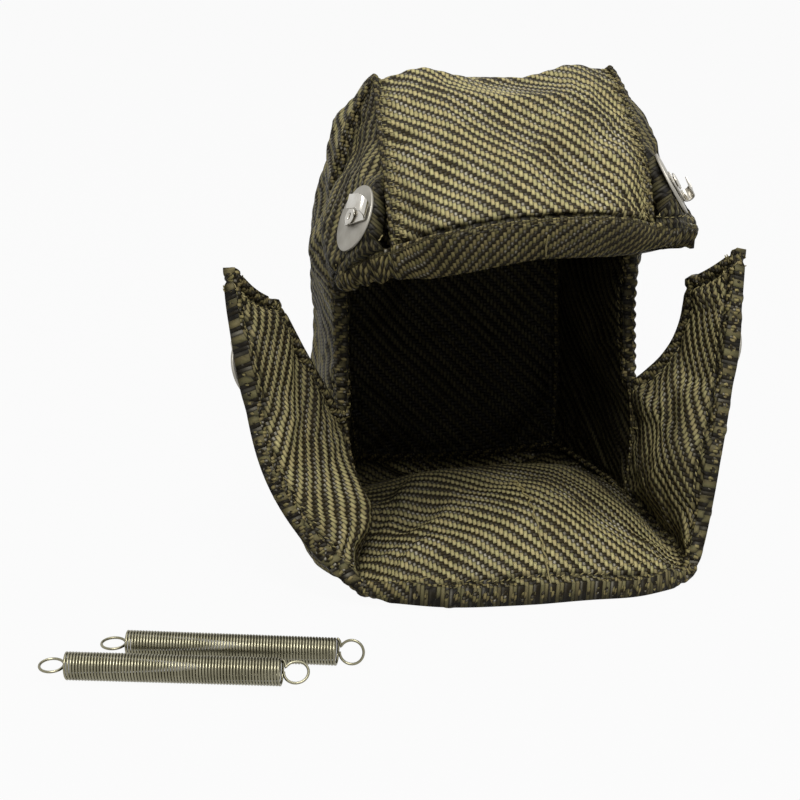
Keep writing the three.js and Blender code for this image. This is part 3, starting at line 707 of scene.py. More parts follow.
    def finish_sheet(self, sheet: np.ndarray, outward: float, seed: int) -> tuple[np.ndarray, ...]:
        """Adds creases that gather at the seams, the groove beside each hem and the twill's wales, and paints
        shade: darker near the seams, in the groove, inside the hollow and by each face's level.

        Args:
            sheet: A fine grid of points.
            outward: 1 for the outer face, -1 for the inner one.
            seed: Picks the noise.

        Returns:
            The finished grid, its place on the cloth and its painted shade.
        """
        normals = self.grid_normals(sheet)
        facing = np.sign(np.sum(normals * (sheet - HOLLOW_CENTRE), axis=-1).mean()) or 1.0
        normals = normals * facing * outward
        place = self.cloth_place(sheet)
        from_edge = self.edge_distance(sheet)
        groove = self.hem_groove(sheet)
        gathers = value_noise(sheet, 7.0, seed) * np.exp(-from_edge / 8)
        folds = value_noise(sheet, 24.0, seed + 7)
        lift = self.crease * (1.7 * gathers + folds)
        lift += WEAVE.relief(place)
        lift *= smooth_step(from_edge, 0, 1.5)
        lift -= self.groove * groove
        lift *= 1 - self.under_washer(sheet)
        finished = sheet + normals * lift[..., None]
        if self.on_floor:
            finished[..., 2] = np.maximum(finished[..., 2], 0)
        # Painted shade: each face's level, darker near the seams and in the hem groove, with a little random
        # tone.
        base = self.outer_tone if outward > 0 else self.inner_tone
        painted_shade = 0.4 + 0.6 * smooth_step(from_edge, 0.5, 5)
        tone = base * painted_shade * (1 - 0.8 * groove) * (1 + 0.25 * value_noise(sheet, 30.0, seed + 11))
        # Painted shade on the inner face, darker deep in the hollow.
        if outward < 0:
            inside = smooth_step(sheet[..., 1], self.hollow_from, self.hollow_to)
            tone *= 1 - (1 - self.hollow_shade) * inside
        return finished, place, tone

    def hem_groove(self, sheet: np.ndarray) -> np.ndarray:
        """Returns 1 along the line where a hem is sewn down, 0 away from it."""
        down, across = sheet.shape[0] - 1, sheet.shape[1] - 1
        edges = (
            (self.north, across, sheet[0:1], Axis.DOWN), (self.south, across, sheet[-1:], Axis.DOWN),
            (self.west, down, sheet[:, 0:1], Axis.ACROSS), (self.east, down, sheet[:, -1:], Axis.ACROSS),
        )
        line = np.zeros(sheet.shape[:2])
        for seam, steps, border, way in edges:
            thickness = np.expand_dims(seam.sample(steps)[1], way.value)
            free = smooth_step(thickness, SEAM_THICKNESS + 0.4, SEAM_THICKNESS + 1.6)
            away = np.linalg.norm(sheet - border, axis=-1)
            line = np.maximum(line, free * np.exp(-(((away - self.hem_depth - 0.4) / 1.5) ** 2)))
        return line

    @staticmethod
    def edge_distance(sheet: np.ndarray) -> np.ndarray:
        """Returns how far each point lies from the nearest border of its grid."""
        borders = (sheet[0:1], sheet[-1:], sheet[:, 0:1], sheet[:, -1:])
        return np.min([np.linalg.norm(sheet - border, axis=-1) for border in borders], axis=0)

    def under_washer(self, sheet: np.ndarray) -> np.ndarray:
        """Returns 1 where a washer lies on the cloth, 0 away from it."""
        covered = np.zeros(sheet.shape[:2])
        for rivet in self.rivets:
            away = np.linalg.norm(sheet - rivet.centre, axis=-1)
            covered = np.maximum(covered, 1 - smooth_step(away, rivet.radius, rivet.radius + 4))
        return covered

    def build(self, leanings: Leanings, material: bpy.types.Material, seed: int) -> bpy.types.Object:
        """Makes the finished pad.

        Args:
            leanings: How the quilt leans at the seams.
            material: The cloth's finish.
            seed: Picks its creases.

        Returns:
            The pad's object.
        """
        middle, _ = self.middle(self.north.cells, self.west.cells)
        wide = np.linalg.norm(np.diff(middle, axis=1), axis=-1).sum(axis=1).max()
        tall = np.linalg.norm(np.diff(middle, axis=0), axis=-1).sum(axis=0).max()
        coarse = max(8, round(wide / self.cloth_step)), max(8, round(tall / self.cloth_step))
        fine = round(wide / self.yarn_step), round(tall / self.yarn_step)
        outer, inner = self.sheets(leanings, *coarse)
        self.press_in(outer, inner)
        outer, inner = self.billow(outer, inner)
        self.flatten_rivets(outer, inner)
        outer, inner = refine(outer, fine[1], fine[0]), refine(inner, fine[1], fine[0])
        outer, outer_place, outer_tone = self.finish_sheet(outer, 1, seed)
        inner, inner_place, inner_tone = self.finish_sheet(inner, -1, seed + 31)
        points = np.concatenate([outer.reshape(-1, 3), inner.reshape(-1, 3)])
        piece = make_object(self.name + "_quilt", points, self.shell_faces(*fine))
        paint_uv(piece, np.concatenate([outer_place.reshape(-1, 2), inner_place.reshape(-1, 2)]))
        paint_shade(piece, np.concatenate([outer_tone.ravel(), inner_tone.ravel()]))
        make_outward(piece)
        shade_smooth(piece)
        layers = ("cover", "wadding", "liner")
        hand_in(piece, Slot.COVER, material, *(f"{self.name}_{layer}" for layer in layers))
        return piece


def make_outward(piece: bpy.types.Object) -> None:
    """Turns every face of a closed piece outwards."""
    mesh = piece.data
    mesh.calc_loop_triangles()
    co = np.zeros(len(mesh.vertices) * 3)
    mesh.vertices.foreach_get("co", co)
    co = co.reshape(-1, 3)
    tri = np.zeros(len(mesh.loop_triangles) * 3, np.int32)
    mesh.loop_triangles.foreach_get("vertices", tri)
    a, b, c = (co[tri.reshape(-1, 3)[:, k]] for k in range(3))
    if np.sum(a * np.cross(b, c)) < 0:
        mesh.flip_normals()


# Edges: rolled hems, piping and stitches


@dataclass
class RolledHem:
    """A hem rolled round the quilt's edge, lumpy where the thread binds it."""

    name: str
    seam: Seam
    inside: np.ndarray
    depth: float = 5.0
    proud: float = 0.4
    lump: float = 0.28
    stitch: float = 4.2
    step: float = 0.75
    sides: int = 28
    trim: tuple = (0.0, 0.0)
    # The hem's painted shade level.
    tone: float = 0.8
    slot: Slot = Slot.BINDING
    end_round: float = 3.0
    folds: list = field(default_factory=list)
    hang: list = field(default_factory=list)
    presses: list = field(default_factory=list)

    def hang_down(self, ring: np.ndarray, centre: np.ndarray, share: np.ndarray) -> None:
        """Lets the hem's underside hang below its seam.

        Args:
            ring: Rings of points along the hem, changed in place.
            centre: The middle of each ring.
            share: Each ring's place along the hem, from 0 to 1.
        """
        if not self.hang:
            return
        places, drops = zip(*self.hang, strict=True)
        height = ring[..., 2] - centre[:, None, 2]
        low = 0.5 - 0.5 * height / np.abs(height).max(axis=1, keepdims=True)
        ring[..., 2] -= np.interp(share, places, drops)[:, None] * low

    def build(self, leanings: Leanings, material: bpy.types.Material, seed: int) -> bpy.types.Object:
        """Sweeps the hem's section along its seam.

        Args:
            leanings: How the quilt leans at the seam.
            material: The cloth's finish.
            seed: Picks its unevenness.

        Returns:
            The hem's object.
        """
        rough, _ = self.seam.sample(self.seam.cells * 8)
        length = np.linalg.norm(np.diff(rough, axis=0), axis=1).sum()
        steps = round(length / self.step)
        line, thickness = self.seam.sample(steps)
        lean = leanings.along(self.seam, steps)
        span = np.r_[0, np.linalg.norm(np.diff(line, axis=0), axis=1).cumsum()]
        keep = (span >= self.trim[0]) & (span <= span[-1] - self.trim[1])
        line, thickness, lean, span = line[keep], thickness[keep], lean[keep], span[keep]
        smooth = np.ones(9) / 9
        thickness = np.convolve(np.pad(thickness, 4, mode="edge"), smooth, mode="valid")
        for press in self.presses:
            if press.face is Face.BOTH:
                line = line + press.move(line)
        tangent = unit(np.gradient(line, axis=0))
        inward = unit(np.cross(tangent, lean))
        toward = np.sum(inward * (self.inside - line), axis=1)
        inward = inward * np.sign(toward)[:, None]
        across = np.cross(inward, tangent)
        lean = unit(across) * np.sign(np.sum(across * lean, axis=1))[:, None]
        centre = line + inward * (self.depth / 2)
        angle = np.linspace(0, 2 * np.pi, self.sides, endpoint=False)
        tall = thickness / 2 + self.proud
        shape_up = np.sign(np.cos(angle)) * np.abs(np.cos(angle)) ** 0.9
        shape_in = np.sign(np.sin(angle)) * np.abs(np.sin(angle)) ** 0.9
        ring = (
            centre[:, None]
            + lean[:, None] * (tall[:, None] * shape_up)[..., None]
            + inward[:, None] * (self.depth / 2 * shape_in)[None, :, None]
        )
        self.hang_down(ring, centre, span / span[-1])
        outward = unit(ring - centre[:, None])
        whip = np.cos(2 * np.pi * span[:, None] / self.stitch + 1.2 * angle[None, :])
        lift = self.lump * whip + 0.5 * self.lump * value_noise(ring, 5.0, seed)
        lift += 0.35 * value_noise(ring, 16.0, seed + 3)
        # Painted shade: the hem's level, darker in the crevices of the whipped stitches, with a little random
        # tone.
        self.painted_shade = self.tone * (0.82 + 0.18 * whip) * (1 + 0.2 * value_noise(ring, 12.0, seed + 5))
        for start, end, depth, pitch in self.folds:
            share = span / span[-1]
            inside = smooth_step(share, start, start + 0.03) * (1 - smooth_step(share, end - 0.03, end))
            lift += (inside * depth * np.cos(2 * np.pi * span / pitch))[:, None]
        ring = ring + outward * lift[..., None]
        ends = np.minimum(span - span[0], span[-1] - span) / self.end_round
        size = np.sqrt(np.clip(1 - (1 - np.minimum(ends, 1)) ** 2, 0.04, 1))
        ring = centre[:, None] + (ring - centre[:, None]) * size[:, None, None]
        ring[..., 2] = np.maximum(ring[..., 2], 0)
        return self.skin(ring, span, material)

    def skin(self, ring: np.ndarray, span: np.ndarray, material: bpy.types.Material) -> bpy.types.Object:
        """Closes the swept rings to one skin with its place on the cloth.

        Args:
            ring: Rings of points along the hem.
            span: Each ring's distance along the hem.
            material: The cloth's finish.

        Returns:
            The hem's object.
        """
        rows, sides = ring.shape[:2]
        numbers = np.arange(rows * sides).reshape(rows, sides)
        after = np.roll(numbers, -1, axis=1)
        walls = np.stack([numbers[:-1], after[:-1], after[1:], numbers[1:]], axis=-1).reshape(-1, 4)
        half = sides // 2
        near, far = numbers[0], numbers[-1]
        caps = []
        for k in range(half - 1):
            quad = (k, k + 1, sides - 2 - k, sides - 1 - k)
            caps.append([near[m] for m in quad][::-1])
            caps.append([far[m] for m in quad])
        faces = np.concatenate([walls, np.array(caps)])
        piece = make_object(self.name, ring.reshape(-1, 3), faces)
        steps = np.linalg.norm(np.diff(ring, axis=1), axis=-1).cumsum(axis=1)
        around = np.pad(steps, ((0, 0), (1, 0)))
        along = np.repeat(span[:, None], sides, axis=1)
        paint_uv(piece, np.stack([along, around], axis=-1).reshape(-1, 2))
        paint_shade(piece, self.painted_shade)
        make_outward(piece)
        shade_smooth(piece)
        nodes = [self.name.replace("_hem", "_binding")]
        hand_in(piece, self.slot, material, *nodes)
        return piece


@dataclass
class Piping:
    """A thin rolled seam between two pads, on the quilt's outer or inner side."""

    name: str
    seam: Seam
    level: float
    radius: float = 1.25
    # The roll's painted shade level, as the seams lie in shade.
    tone: float = 0.5
    stitch: float = 3.4
    step: float = 0.8
    sides: int = 10

    def build(self, leanings: Leanings, material: bpy.types.Material, seed: int) -> bpy.types.Object:
        """Sweeps a small lumpy roll along the seam.

        Args:
            leanings: How the quilt leans at the seam.
            material: The cloth's finish.
            seed: Picks its unevenness.

        Returns:
            The roll's object.
        """
        rough, _ = self.seam.sample(self.seam.cells * 8)
        steps = round(np.linalg.norm(np.diff(rough, axis=0), axis=1).sum() / self.step)
        line, _ = self.seam.sample(steps)
        lean = leanings.along(self.seam, steps)
        line = line + lean * self.level
        span = np.r_[0, np.linalg.norm(np.diff(line, axis=0), axis=1).cumsum()]
        tangent = unit(np.gradient(line, axis=0))
        side = unit(np.cross(tangent, lean))
        up = np.cross(side, tangent)
        angle = np.linspace(0, 2 * np.pi, self.sides, endpoint=False)
        whip = 1 + 0.22 * np.cos(2 * np.pi * span[:, None] / self.stitch + angle[None, :])
        radius = self.radius * whip * (1 + 0.12 * value_noise(line, 9.0, seed))[:, None]
        ring = line[:, None] + side[:, None] * (radius * np.cos(angle))[..., None]
        ring = ring + up[:, None] * (radius * np.sin(angle))[..., None]
        ring[..., 2] = np.maximum(ring[..., 2], 0)
        rows, sides = ring.shape[:2]
        numbers = np.arange(rows * sides).reshape(rows, sides)
        after = np.roll(numbers, -1, axis=1)
        walls = np.stack([numbers[:-1], after[:-1], after[1:], numbers[1:]], axis=-1).reshape(-1, 4)
        caps = []
        for k in range(sides // 2 - 1):
            quad = (k, k + 1, sides - 2 - k, sides - 1 - k)
            caps.append([numbers[0][m] for m in quad][::-1])
            caps.append([numbers[-1][m] for m in quad])
        piece = make_object(self.name, ring.reshape(-1, 3), np.concatenate([walls, np.array(caps)]))
        around = np.linspace(0, 1, sides)[None, :] * 2 * np.pi * self.radius
        along = np.repeat(span[:, None], sides, axis=1)
        paint_uv(piece, np.stack([along, around + 0 * along], axis=-1).reshape(-1, 2))
        paint_shade(piece, np.full(ring.shape[:2], self.tone))
        make_outward(piece)
        shade_smooth(piece)
        hand_in(piece, Slot.BINDING, material)
        return piece


@dataclass
class StitchRow:
    """A row of short slanting stitches on one face of a pad."""

    name: str
    seam: Seam
    inside: np.ndarray
    inset: float
    side: float
    spacing: float = 3.1
    length: float = 2.3
    thick: float = 0.65
    slant: float = 25.0

    def places(self, leanings: Leanings) -> tuple[np.ndarray, np.ndarray, np.ndarray]:
        """Returns each stitch's rough place, its run along the seam and the quilt's leaning there."""
        rough, _ = self.seam.sample(self.seam.cells * 8)
        length = np.linalg.norm(np.diff(rough, axis=0), axis=1).sum()
        steps = max(2, round(length / self.spacing))
        line, _ = self.seam.sample(steps)
        lean = leanings.along(self.seam, steps)
        tangent = unit(np.gradient(line, axis=0))
        inward = unit(np.cross(tangent, lean))
        inward *= np.sign(np.sum(inward * (self.inside - line), axis=1))[:, None]
        return line + inward * self.inset + lean * (4 * self.side), tangent, lean

    def build(self, leanings: Leanings, pad: bpy.types.Object, material: bpy.types.Material) -> None:
        """Lays the stitches on the finished pad.

        Args:
            leanings: How the quilt leans at the seam.
            pad: The finished pad's object.
            material: The thread's finish.
        """
        bpy.ops.object.select_all(action="DESELECT")
        bpy.ops.mesh.primitive_uv_sphere_add(segments=8, ring_count=6, radius=0.5)
        pattern = bpy.context.object
        bead = np.array([v.co[:] for v in pattern.data.vertices]) * (self.length, self.thick, self.thick)
        faces = [tuple(face.vertices) for face in pattern.data.polygons]
        bpy.data.objects.remove(pattern)
        points, all_faces = [], []
        for place, tangent, lean in zip(*self.places(leanings), strict=True):
            found, near, normal, _ = pad.closest_point_on_mesh(Vector(place * MM))
            if not found:
                continue
            up = np.array(normal)
            along = unit(tangent - np.dot(tangent, up) * up)
            across = np.cross(up, along)
            turn = math.radians(self.slant)
            run = along * math.cos(turn) + across * math.sin(turn)
            axes = np.stack([run, np.cross(up, run), up])
            first = len(points) * len(bead)
            points.append(np.array(near) / MM + up * (0.1 * self.thick) + bead @ axes)
            all_faces += [tuple(first + k for k in face) for face in faces]
        mesh = bpy.data.meshes.new(self.name)
        mesh.from_pydata((np.concatenate(points) * MM).tolist(), [], all_faces)
        piece = bpy.data.objects.new(self.name, mesh)
        bpy.context.scene.collection.objects.link(piece)
        make_outward(piece)
        shade_smooth(piece)
        hand_in(piece, Slot.BINDING, material)


@dataclass
class LooseThread:
    """A long thread that lies on the cloth between the points it was drawn through."""

    name: str
    points: tuple
    radius: float = 0.42
    step: float = 1.5

    def build(self, pad: bpy.types.Object, material: bpy.types.Material) -> None:
        """Lays the thread on a finished pad.

        Args:
            pad: The finished pad's object.
            material: The thread's finish.
        """
        path = []
        for first, last in zip(self.points, self.points[1:], strict=False):
            a, b = np.array(first, float), np.array(last, float)
            for t in np.linspace(0, 1, max(2, round(np.linalg.norm(b - a) / self.step))):
                found, near, normal, _ = pad.closest_point_on_mesh(Vector((a + (b - a) * t) * MM))
                if found:
                    path.append(np.array(near) + np.array(normal) * (self.radius * 0.8 * MM))
        curve = bpy.data.curves.new(self.name + "_line", "CURVE")
        curve.dimensions = "3D"
        curve.bevel_depth = self.radius * MM
        curve.bevel_resolution = 2
        curve.use_fill_caps = True
        spline = curve.splines.new("POLY")
        spline.points.add(len(path) - 1)
        spline.points.foreach_set("co", np.c_[np.array(path), np.ones(len(path))].ravel())
        piece = bpy.data.objects.new(self.name, curve)
        bpy.context.scene.collection.objects.link(piece)
        select_only(piece)
        bpy.ops.object.convert(target="MESH")
        piece = bpy.context.object
        shade_smooth(piece)
        hand_in(piece, Slot.BINDING, material)


# Hooks: washer, bent strip and hollow rivet


@dataclass
class SpringHook:
    """A riveted hook, placed on the CAD washer and turned as the CAD hook is."""

    name: str
    radius: float = 14.5
    washer_thickness: float = 1.2
    bore: float = 2.6
    grip: float = 8.0
    strip_width: float = 6.4
    strip_thickness: float = 0.95
    bend_radius: float = 1.9
    bend_reach: float = 10.5
    heel_reach: float = 4.6
    seat_gap: float = 0.3
    lean: float = 0.0
    turn: float = 0.0
    skew: float = 0.0
    shift: tuple = (0.0, 0.0, 0.0)

    def __post_init__(self) -> None:
        """Reads the place and the turn from the CAD nodes and lets the soft pad lean under them."""
        self.centre, self.normal = self.plane(f"{self.name}_washer")
        if np.dot(self.normal, self.centre - HOLLOW_CENTRE) < 0:
            self.normal = -self.normal
        along = self.way(f"{self.name}_hook")
        lean = np.array(Matrix.Rotation(math.radians(self.lean), 3, "Z"))
        self.normal = lean @ self.normal
        turn = np.array(Matrix.Rotation(math.radians(self.turn), 3, Vector(self.normal)))
        along = turn @ lean @ along
        self.along = unit(along - np.dot(along, self.normal) * self.normal)
        self.centre = self.centre + np.array(self.shift, float)
        self.cloth_level = -self.washer_thickness / 2 - self.seat_gap

    @staticmethod
    def points(node: str) -> np.ndarray:
        """Returns a CAD node's vertices in millimetres."""
        mesh = bpy.data.objects[node].data
        flat = np.zeros(len(mesh.vertices) * 3)
        mesh.vertices.foreach_get("co", flat)
        return np.unique(np.round(flat.reshape(-1, 3) / MM, 3), axis=0)

    def plane(self, node: str) -> tuple[np.ndarray, np.ndarray]:
        """Returns the middle of a flat round node and the way that it faces."""
        points = self.points(node)
        centre = (points.min(axis=0) + points.max(axis=0)) / 2
        _, _, ways = np.linalg.svd(points - points.mean(axis=0))
        return centre, ways[2]

    def way(self, node: str) -> np.ndarray:
        """Returns the way from the rivet to the hook's bend, in the washer's plane."""
        reach = self.points(node).mean(axis=0) - self.centre
        reach -= np.dot(reach, self.normal) * self.normal
        return unit(reach)

    def place(self, piece: bpy.types.Object) -> None:
        """Moves a piece made at the world's origin on to the rivet's axis."""
        side = np.cross(self.normal, self.along)
        rows = np.stack([self.along, side, self.normal], axis=1)
        turn = Matrix([[*row, 0.0] for row in rows] + [[0, 0, 0, 1]])
        move = Matrix.Translation(Vector(self.centre * MM))
        piece.data.transform(move @ turn)
        piece.data.update()

    def washer(self, material: bpy.types.Material) -> None:
        """A plain washer with rolled corners, spun from its section."""
        half, roll = self.washer_thickness / 2, 0.3
        corners = ((self.bore, -half), (self.radius, -half), (self.radius, half), (self.bore, half))
        section = []
        for k, (r, z) in enumerate(corners):
            inward = -1 if r == self.radius else 1
            rise = 1 if z < 0 else -1
            ends = [
                (r, z + rise * roll), (r + 0.3 * inward * roll, z + 0.3 * rise * roll),
                (r + inward * roll, z),
            ]
            section += ends if k in (0, 2) else ends[::-1]
        piece = spun_ring(f"{self.name}_plain_washer", section, 96)
        piece.data.shade_smooth()
        select_only(piece)
        bpy.ops.object.shade_smooth_by_angle(angle=math.radians(50))
        self.place(piece)
        hand_in(piece, Slot.WASHER, material, f"{self.name}_washer")

    def strip(self, material: bpy.types.Material) -> None:
        """The bent strip: its foot on the washer, its tail back over the bend."""
        t, r = self.strip_thickness, self.bend_radius + self.strip_thickness / 2
        base = self.washer_thickness / 2 + self.seat_gap + t / 2
        turn = np.linspace(-np.pi / 2, np.pi / 2, 25)
        bend = [(self.bend_reach + r * math.cos(a), base + r + r * math.sin(a)) for a in turn]
        tip = [(7.5, base + 2 * r + 0.2), (4.6, base + 2 * r + 0.6)]
        path = [(-self.heel_reach, base), (0.0, base), *bend, *tip]
        bpy.ops.object.select_all(action="DESELECT")
        bpy.ops.mesh.primitive_plane_add(size=1)
        piece = bpy.context.object
        piece.name = f"{self.name}_bent_strip"
        half = self.strip_width / 2
        mesh = piece.data
        mesh.clear_geometry()
        aside = np.linspace(0, self.skew, len(path))
        points = [(x * MM, (y - half) * MM, z * MM) for (x, z), y in zip(path, aside, strict=True)]
        mesh.from_pydata(points, [(k, k + 1) for k in range(len(points) - 1)], [])
        bpy.ops.object.mode_set(mode="EDIT")
        bpy.ops.mesh.select_all(action="SELECT")
        bpy.ops.mesh.extrude_region_move(TRANSFORM_OT_translate={"value": (0, 2 * half * MM, 0)})
        bpy.ops.mesh.select_all(action="SELECT")
        bpy.ops.mesh.normals_make_consistent(inside=False)
        bpy.ops.object.mode_set(mode="OBJECT")
        wall = piece.modifiers.new("wall", "SOLIDIFY")
        wall.thickness = t * MM
        wall.offset = 0
        bpy.ops.object.modifier_apply(modifier=wall.name)
        self.round_edges(piece, 0.16)
        self.place(piece)
        hand_in(piece, Slot.HOOK, material, f"{self.name}_hook")

    def rivet(self, material: bpy.types.Material) -> None:
        """The hollow rivet's rolled head, spun from its section."""
        low = self.washer_thickness / 2 + self.strip_thickness + 2 * self.seat_gap
        section = [(1.3, -3.0), (2.2, -3.0), (2.3, low - 0.05), (3.6, low), (4.0, low + 0.35),
                   (3.7, low + 0.8), (2.9, low + 1.05), (2.0, low + 0.95), (1.45, low + 0.55), (1.3, low)]
        piece = spun_ring(f"{self.name}_hollow_rivet", section, 48)
        shade_smooth(piece)
        self.place(piece)
        hand_in(piece, Slot.HOOK, material, f"{self.name}_rivet")

    @staticmethod
    def round_edges(piece: bpy.types.Object, width: float) -> None:
        """Rolls the sharp edges of a piece and smooths its shading."""
        bevel = piece.modifiers.new("edges", "BEVEL")
        bevel.width = width * MM
        bevel.segments = 3
        bevel.limit_method = "ANGLE"
        select_only(piece)
        bpy.ops.object.modifier_apply(modifier=bevel.name)
        bpy.ops.object.shade_smooth_by_angle(angle=math.radians(35))

    def build(self, washer: bpy.types.Material, steel: bpy.types.Material) -> None:
        """Makes the hook's three visible pieces."""
        self.washer(washer)
        self.strip(steel)
        self.rivet(steel)


@dataclass
class CoilSpring:
    """A close-wound extension spring that lies on the floor."""

    name: str
    x: float
    y: float
    heading: float
    start_roll: float
    end_roll: float
    wire: float = 1.1
    coil_diameter: float = 11.2
    length: float = 84.0
    loop_diameter: float = 10.6
    pitch: float = 1.2
    turn_steps: int = 20

    def path(self) -> np.ndarray:
        """Returns the wire's centre line, loops and all, in millimetres."""
        radius = (self.coil_diameter - self.wire) / 2
        turns = math.floor(self.length / self.pitch)
        start, end = math.radians(self.start_roll), math.radians(self.end_roll)
        share = np.linspace(0, 1, turns * self.turn_steps + 1)
        angle = start + (2 * math.pi * turns + end - start) * share
        coil = np.stack([
            self.length * (share - 0.5), radius * np.cos(angle), radius * np.sin(angle)], axis=1)
        head = self.loop(radius, start)[::-1] * np.array([-1, 1, 1]) - np.array([self.length / 2, 0, 0])
        tail = self.loop(radius, end) + np.array([self.length / 2, 0, 0])
        line = np.concatenate([head[:-1], coil, tail[1:]])
        heading = math.radians(self.heading)
        turn = np.array([
            [math.cos(heading), -math.sin(heading), 0], [math.sin(heading), math.cos(heading), 0], [0, 0, 1]])
        return line @ turn.T + np.array([self.x, self.y, self.coil_diameter / 2])

    def loop(self, radius: float, roll: float) -> np.ndarray:
        """One end loop: out of the coil, across to its middle and round a full eye."""
        eye = (self.loop_diameter - self.wire) / 2
        centre = self.wire * 0.8 + eye
        turn = 0.86 * math.pi - np.linspace(0, 1.86 * math.pi, 56)
        eye_line = np.stack([centre + eye * np.cos(turn), eye * np.sin(turn)], axis=1)
        first, last = np.array([0.0, radius]), eye_line[0]
        t = np.linspace(0, 1, 10)[:-1, None]
        control = np.array([self.wire * 0.9, radius * 0.95])
        neck = (1 - t) ** 2 * first + 2 * t * (1 - t) * control + t**2 * last
        flat = np.concatenate([neck, eye_line])
        return np.stack([flat[:, 0], flat[:, 1] * math.cos(roll), flat[:, 1] * math.sin(roll)], axis=1)

    def build(self, material: bpy.types.Material) -> None:
        """Makes the spring as a round wire along its path."""
        curve = bpy.data.curves.new(self.name + "_wire", "CURVE")
        curve.dimensions = "3D"
        curve.bevel_depth = self.wire / 2 * MM
        curve.bevel_resolution = 3
        curve.use_fill_caps = True
        line = self.path() * MM
        spline = curve.splines.new("POLY")
        spline.points.add(len(line) - 1)
        spline.points.foreach_set("co", np.c_[line, np.ones(len(line))].ravel())
        piece = bpy.data.objects.new(self.name + "_coil", curve)
        bpy.context.scene.collection.objects.link(piece)
        select_only(piece)
        bpy.ops.object.convert(target="MESH")
        piece = bpy.context.object
        shade_smooth(piece)
        hand_in(piece, Slot.SPRING, material, self.name)


# Finishes


class Nodes:
    """Builds a node tree in few words."""

    def __init__(self, name: str) -> None:
        """Starts a material with an empty tree, its output and its principled shader."""
        self.material = bpy.data.materials.new(name)
        self.material.use_nodes = True
        self.tree = self.material.node_tree
        self.tree.nodes.clear()
        self.output = self.tree.nodes.new("ShaderNodeOutputMaterial")
        self.shader = self.add("ShaderNodeBsdfPrincipled")
        self.tree.links.new(self.shader.outputs[0], self.output.inputs["Surface"])

    def add(self, kind: str, **values: object) -> bpy.types.Node:
        """Adds a node and sets its properties."""
        node = self.tree.nodes.new(kind)
        for key, value in values.items():
            setattr(node, key, value)
        return node

    def plug(self, source: object, target: bpy.types.NodeSocket) -> None:
        """Joins a socket to another, or sets its value."""
        if isinstance(source, bpy.types.NodeSocket):
            self.tree.links.new(source, target)
        else:
            target.default_value = source

    def math(self, operation: str, *values: object) -> bpy.types.NodeSocket:
        """Adds a math node on values or sockets."""
        node = self.add("ShaderNodeMath", operation=operation)
        for value, target in zip(values, node.inputs, strict=False):
            self.plug(value, target)
        return node.outputs[0]

    def mix(self, factor: object, first: object, second: object) -> bpy.types.NodeSocket:
        """Adds a colour mix."""
        node = self.add("ShaderNodeMix", data_type="RGBA")
        self.plug(factor, node.inputs[0])
        self.plug(first, node.inputs[6])
        self.plug(second, node.inputs[7])
        return node.outputs[2]

    def blend(self, factor: object, first: object, second: object) -> bpy.types.NodeSocket:
        """Adds a mix of two numbers."""
        node = self.add("ShaderNodeMix", data_type="FLOAT")
        self.plug(factor, node.inputs[0])
        self.plug(first, node.inputs[2])
        self.plug(second, node.inputs[3])
        return node.outputs[0]

    def noise(self, vector: object, scale: float, detail: float = 2.0) -> bpy.types.NodeSocket:
        """Adds a noise texture and returns its value."""
        node = self.add("ShaderNodeTexNoise")
        self.plug(vector, node.inputs["Vector"])
        node.inputs["Scale"].default_value = scale
        node.inputs["Detail"].default_value = detail
        return node.outputs["Fac"]

    def vector(self, x: object, y: object, z: object = 0.0) -> bpy.types.NodeSocket:
        """Adds a vector from three numbers."""
        node = self.add("ShaderNodeCombineXYZ")
        for value, target in zip((x, y, z), node.inputs, strict=True):
            self.plug(value, target)
        return node.outputs[0]

    def random(self, value: object) -> bpy.types.NodeSocket:
        """Adds a random value from 0 to 1 for each number."""
        node = self.add("ShaderNodeTexWhiteNoise", noise_dimensions="1D")
        self.plug(value, node.inputs["W"])
        return node.outputs["Value"]


def srgb(red: int, green: int, blue: int) -> tuple:
    """Returns a linear colour from display values of 0 to 255."""
    def linear(value: int) -> float:
        """Undoes the display curve of one channel."""
        share = value / 255
        return share / 12.92 if share <= 0.04045 else ((share + 0.055) / 1.055) ** 2.4
    return (linear(red), linear(green), linear(blue), 1.0)


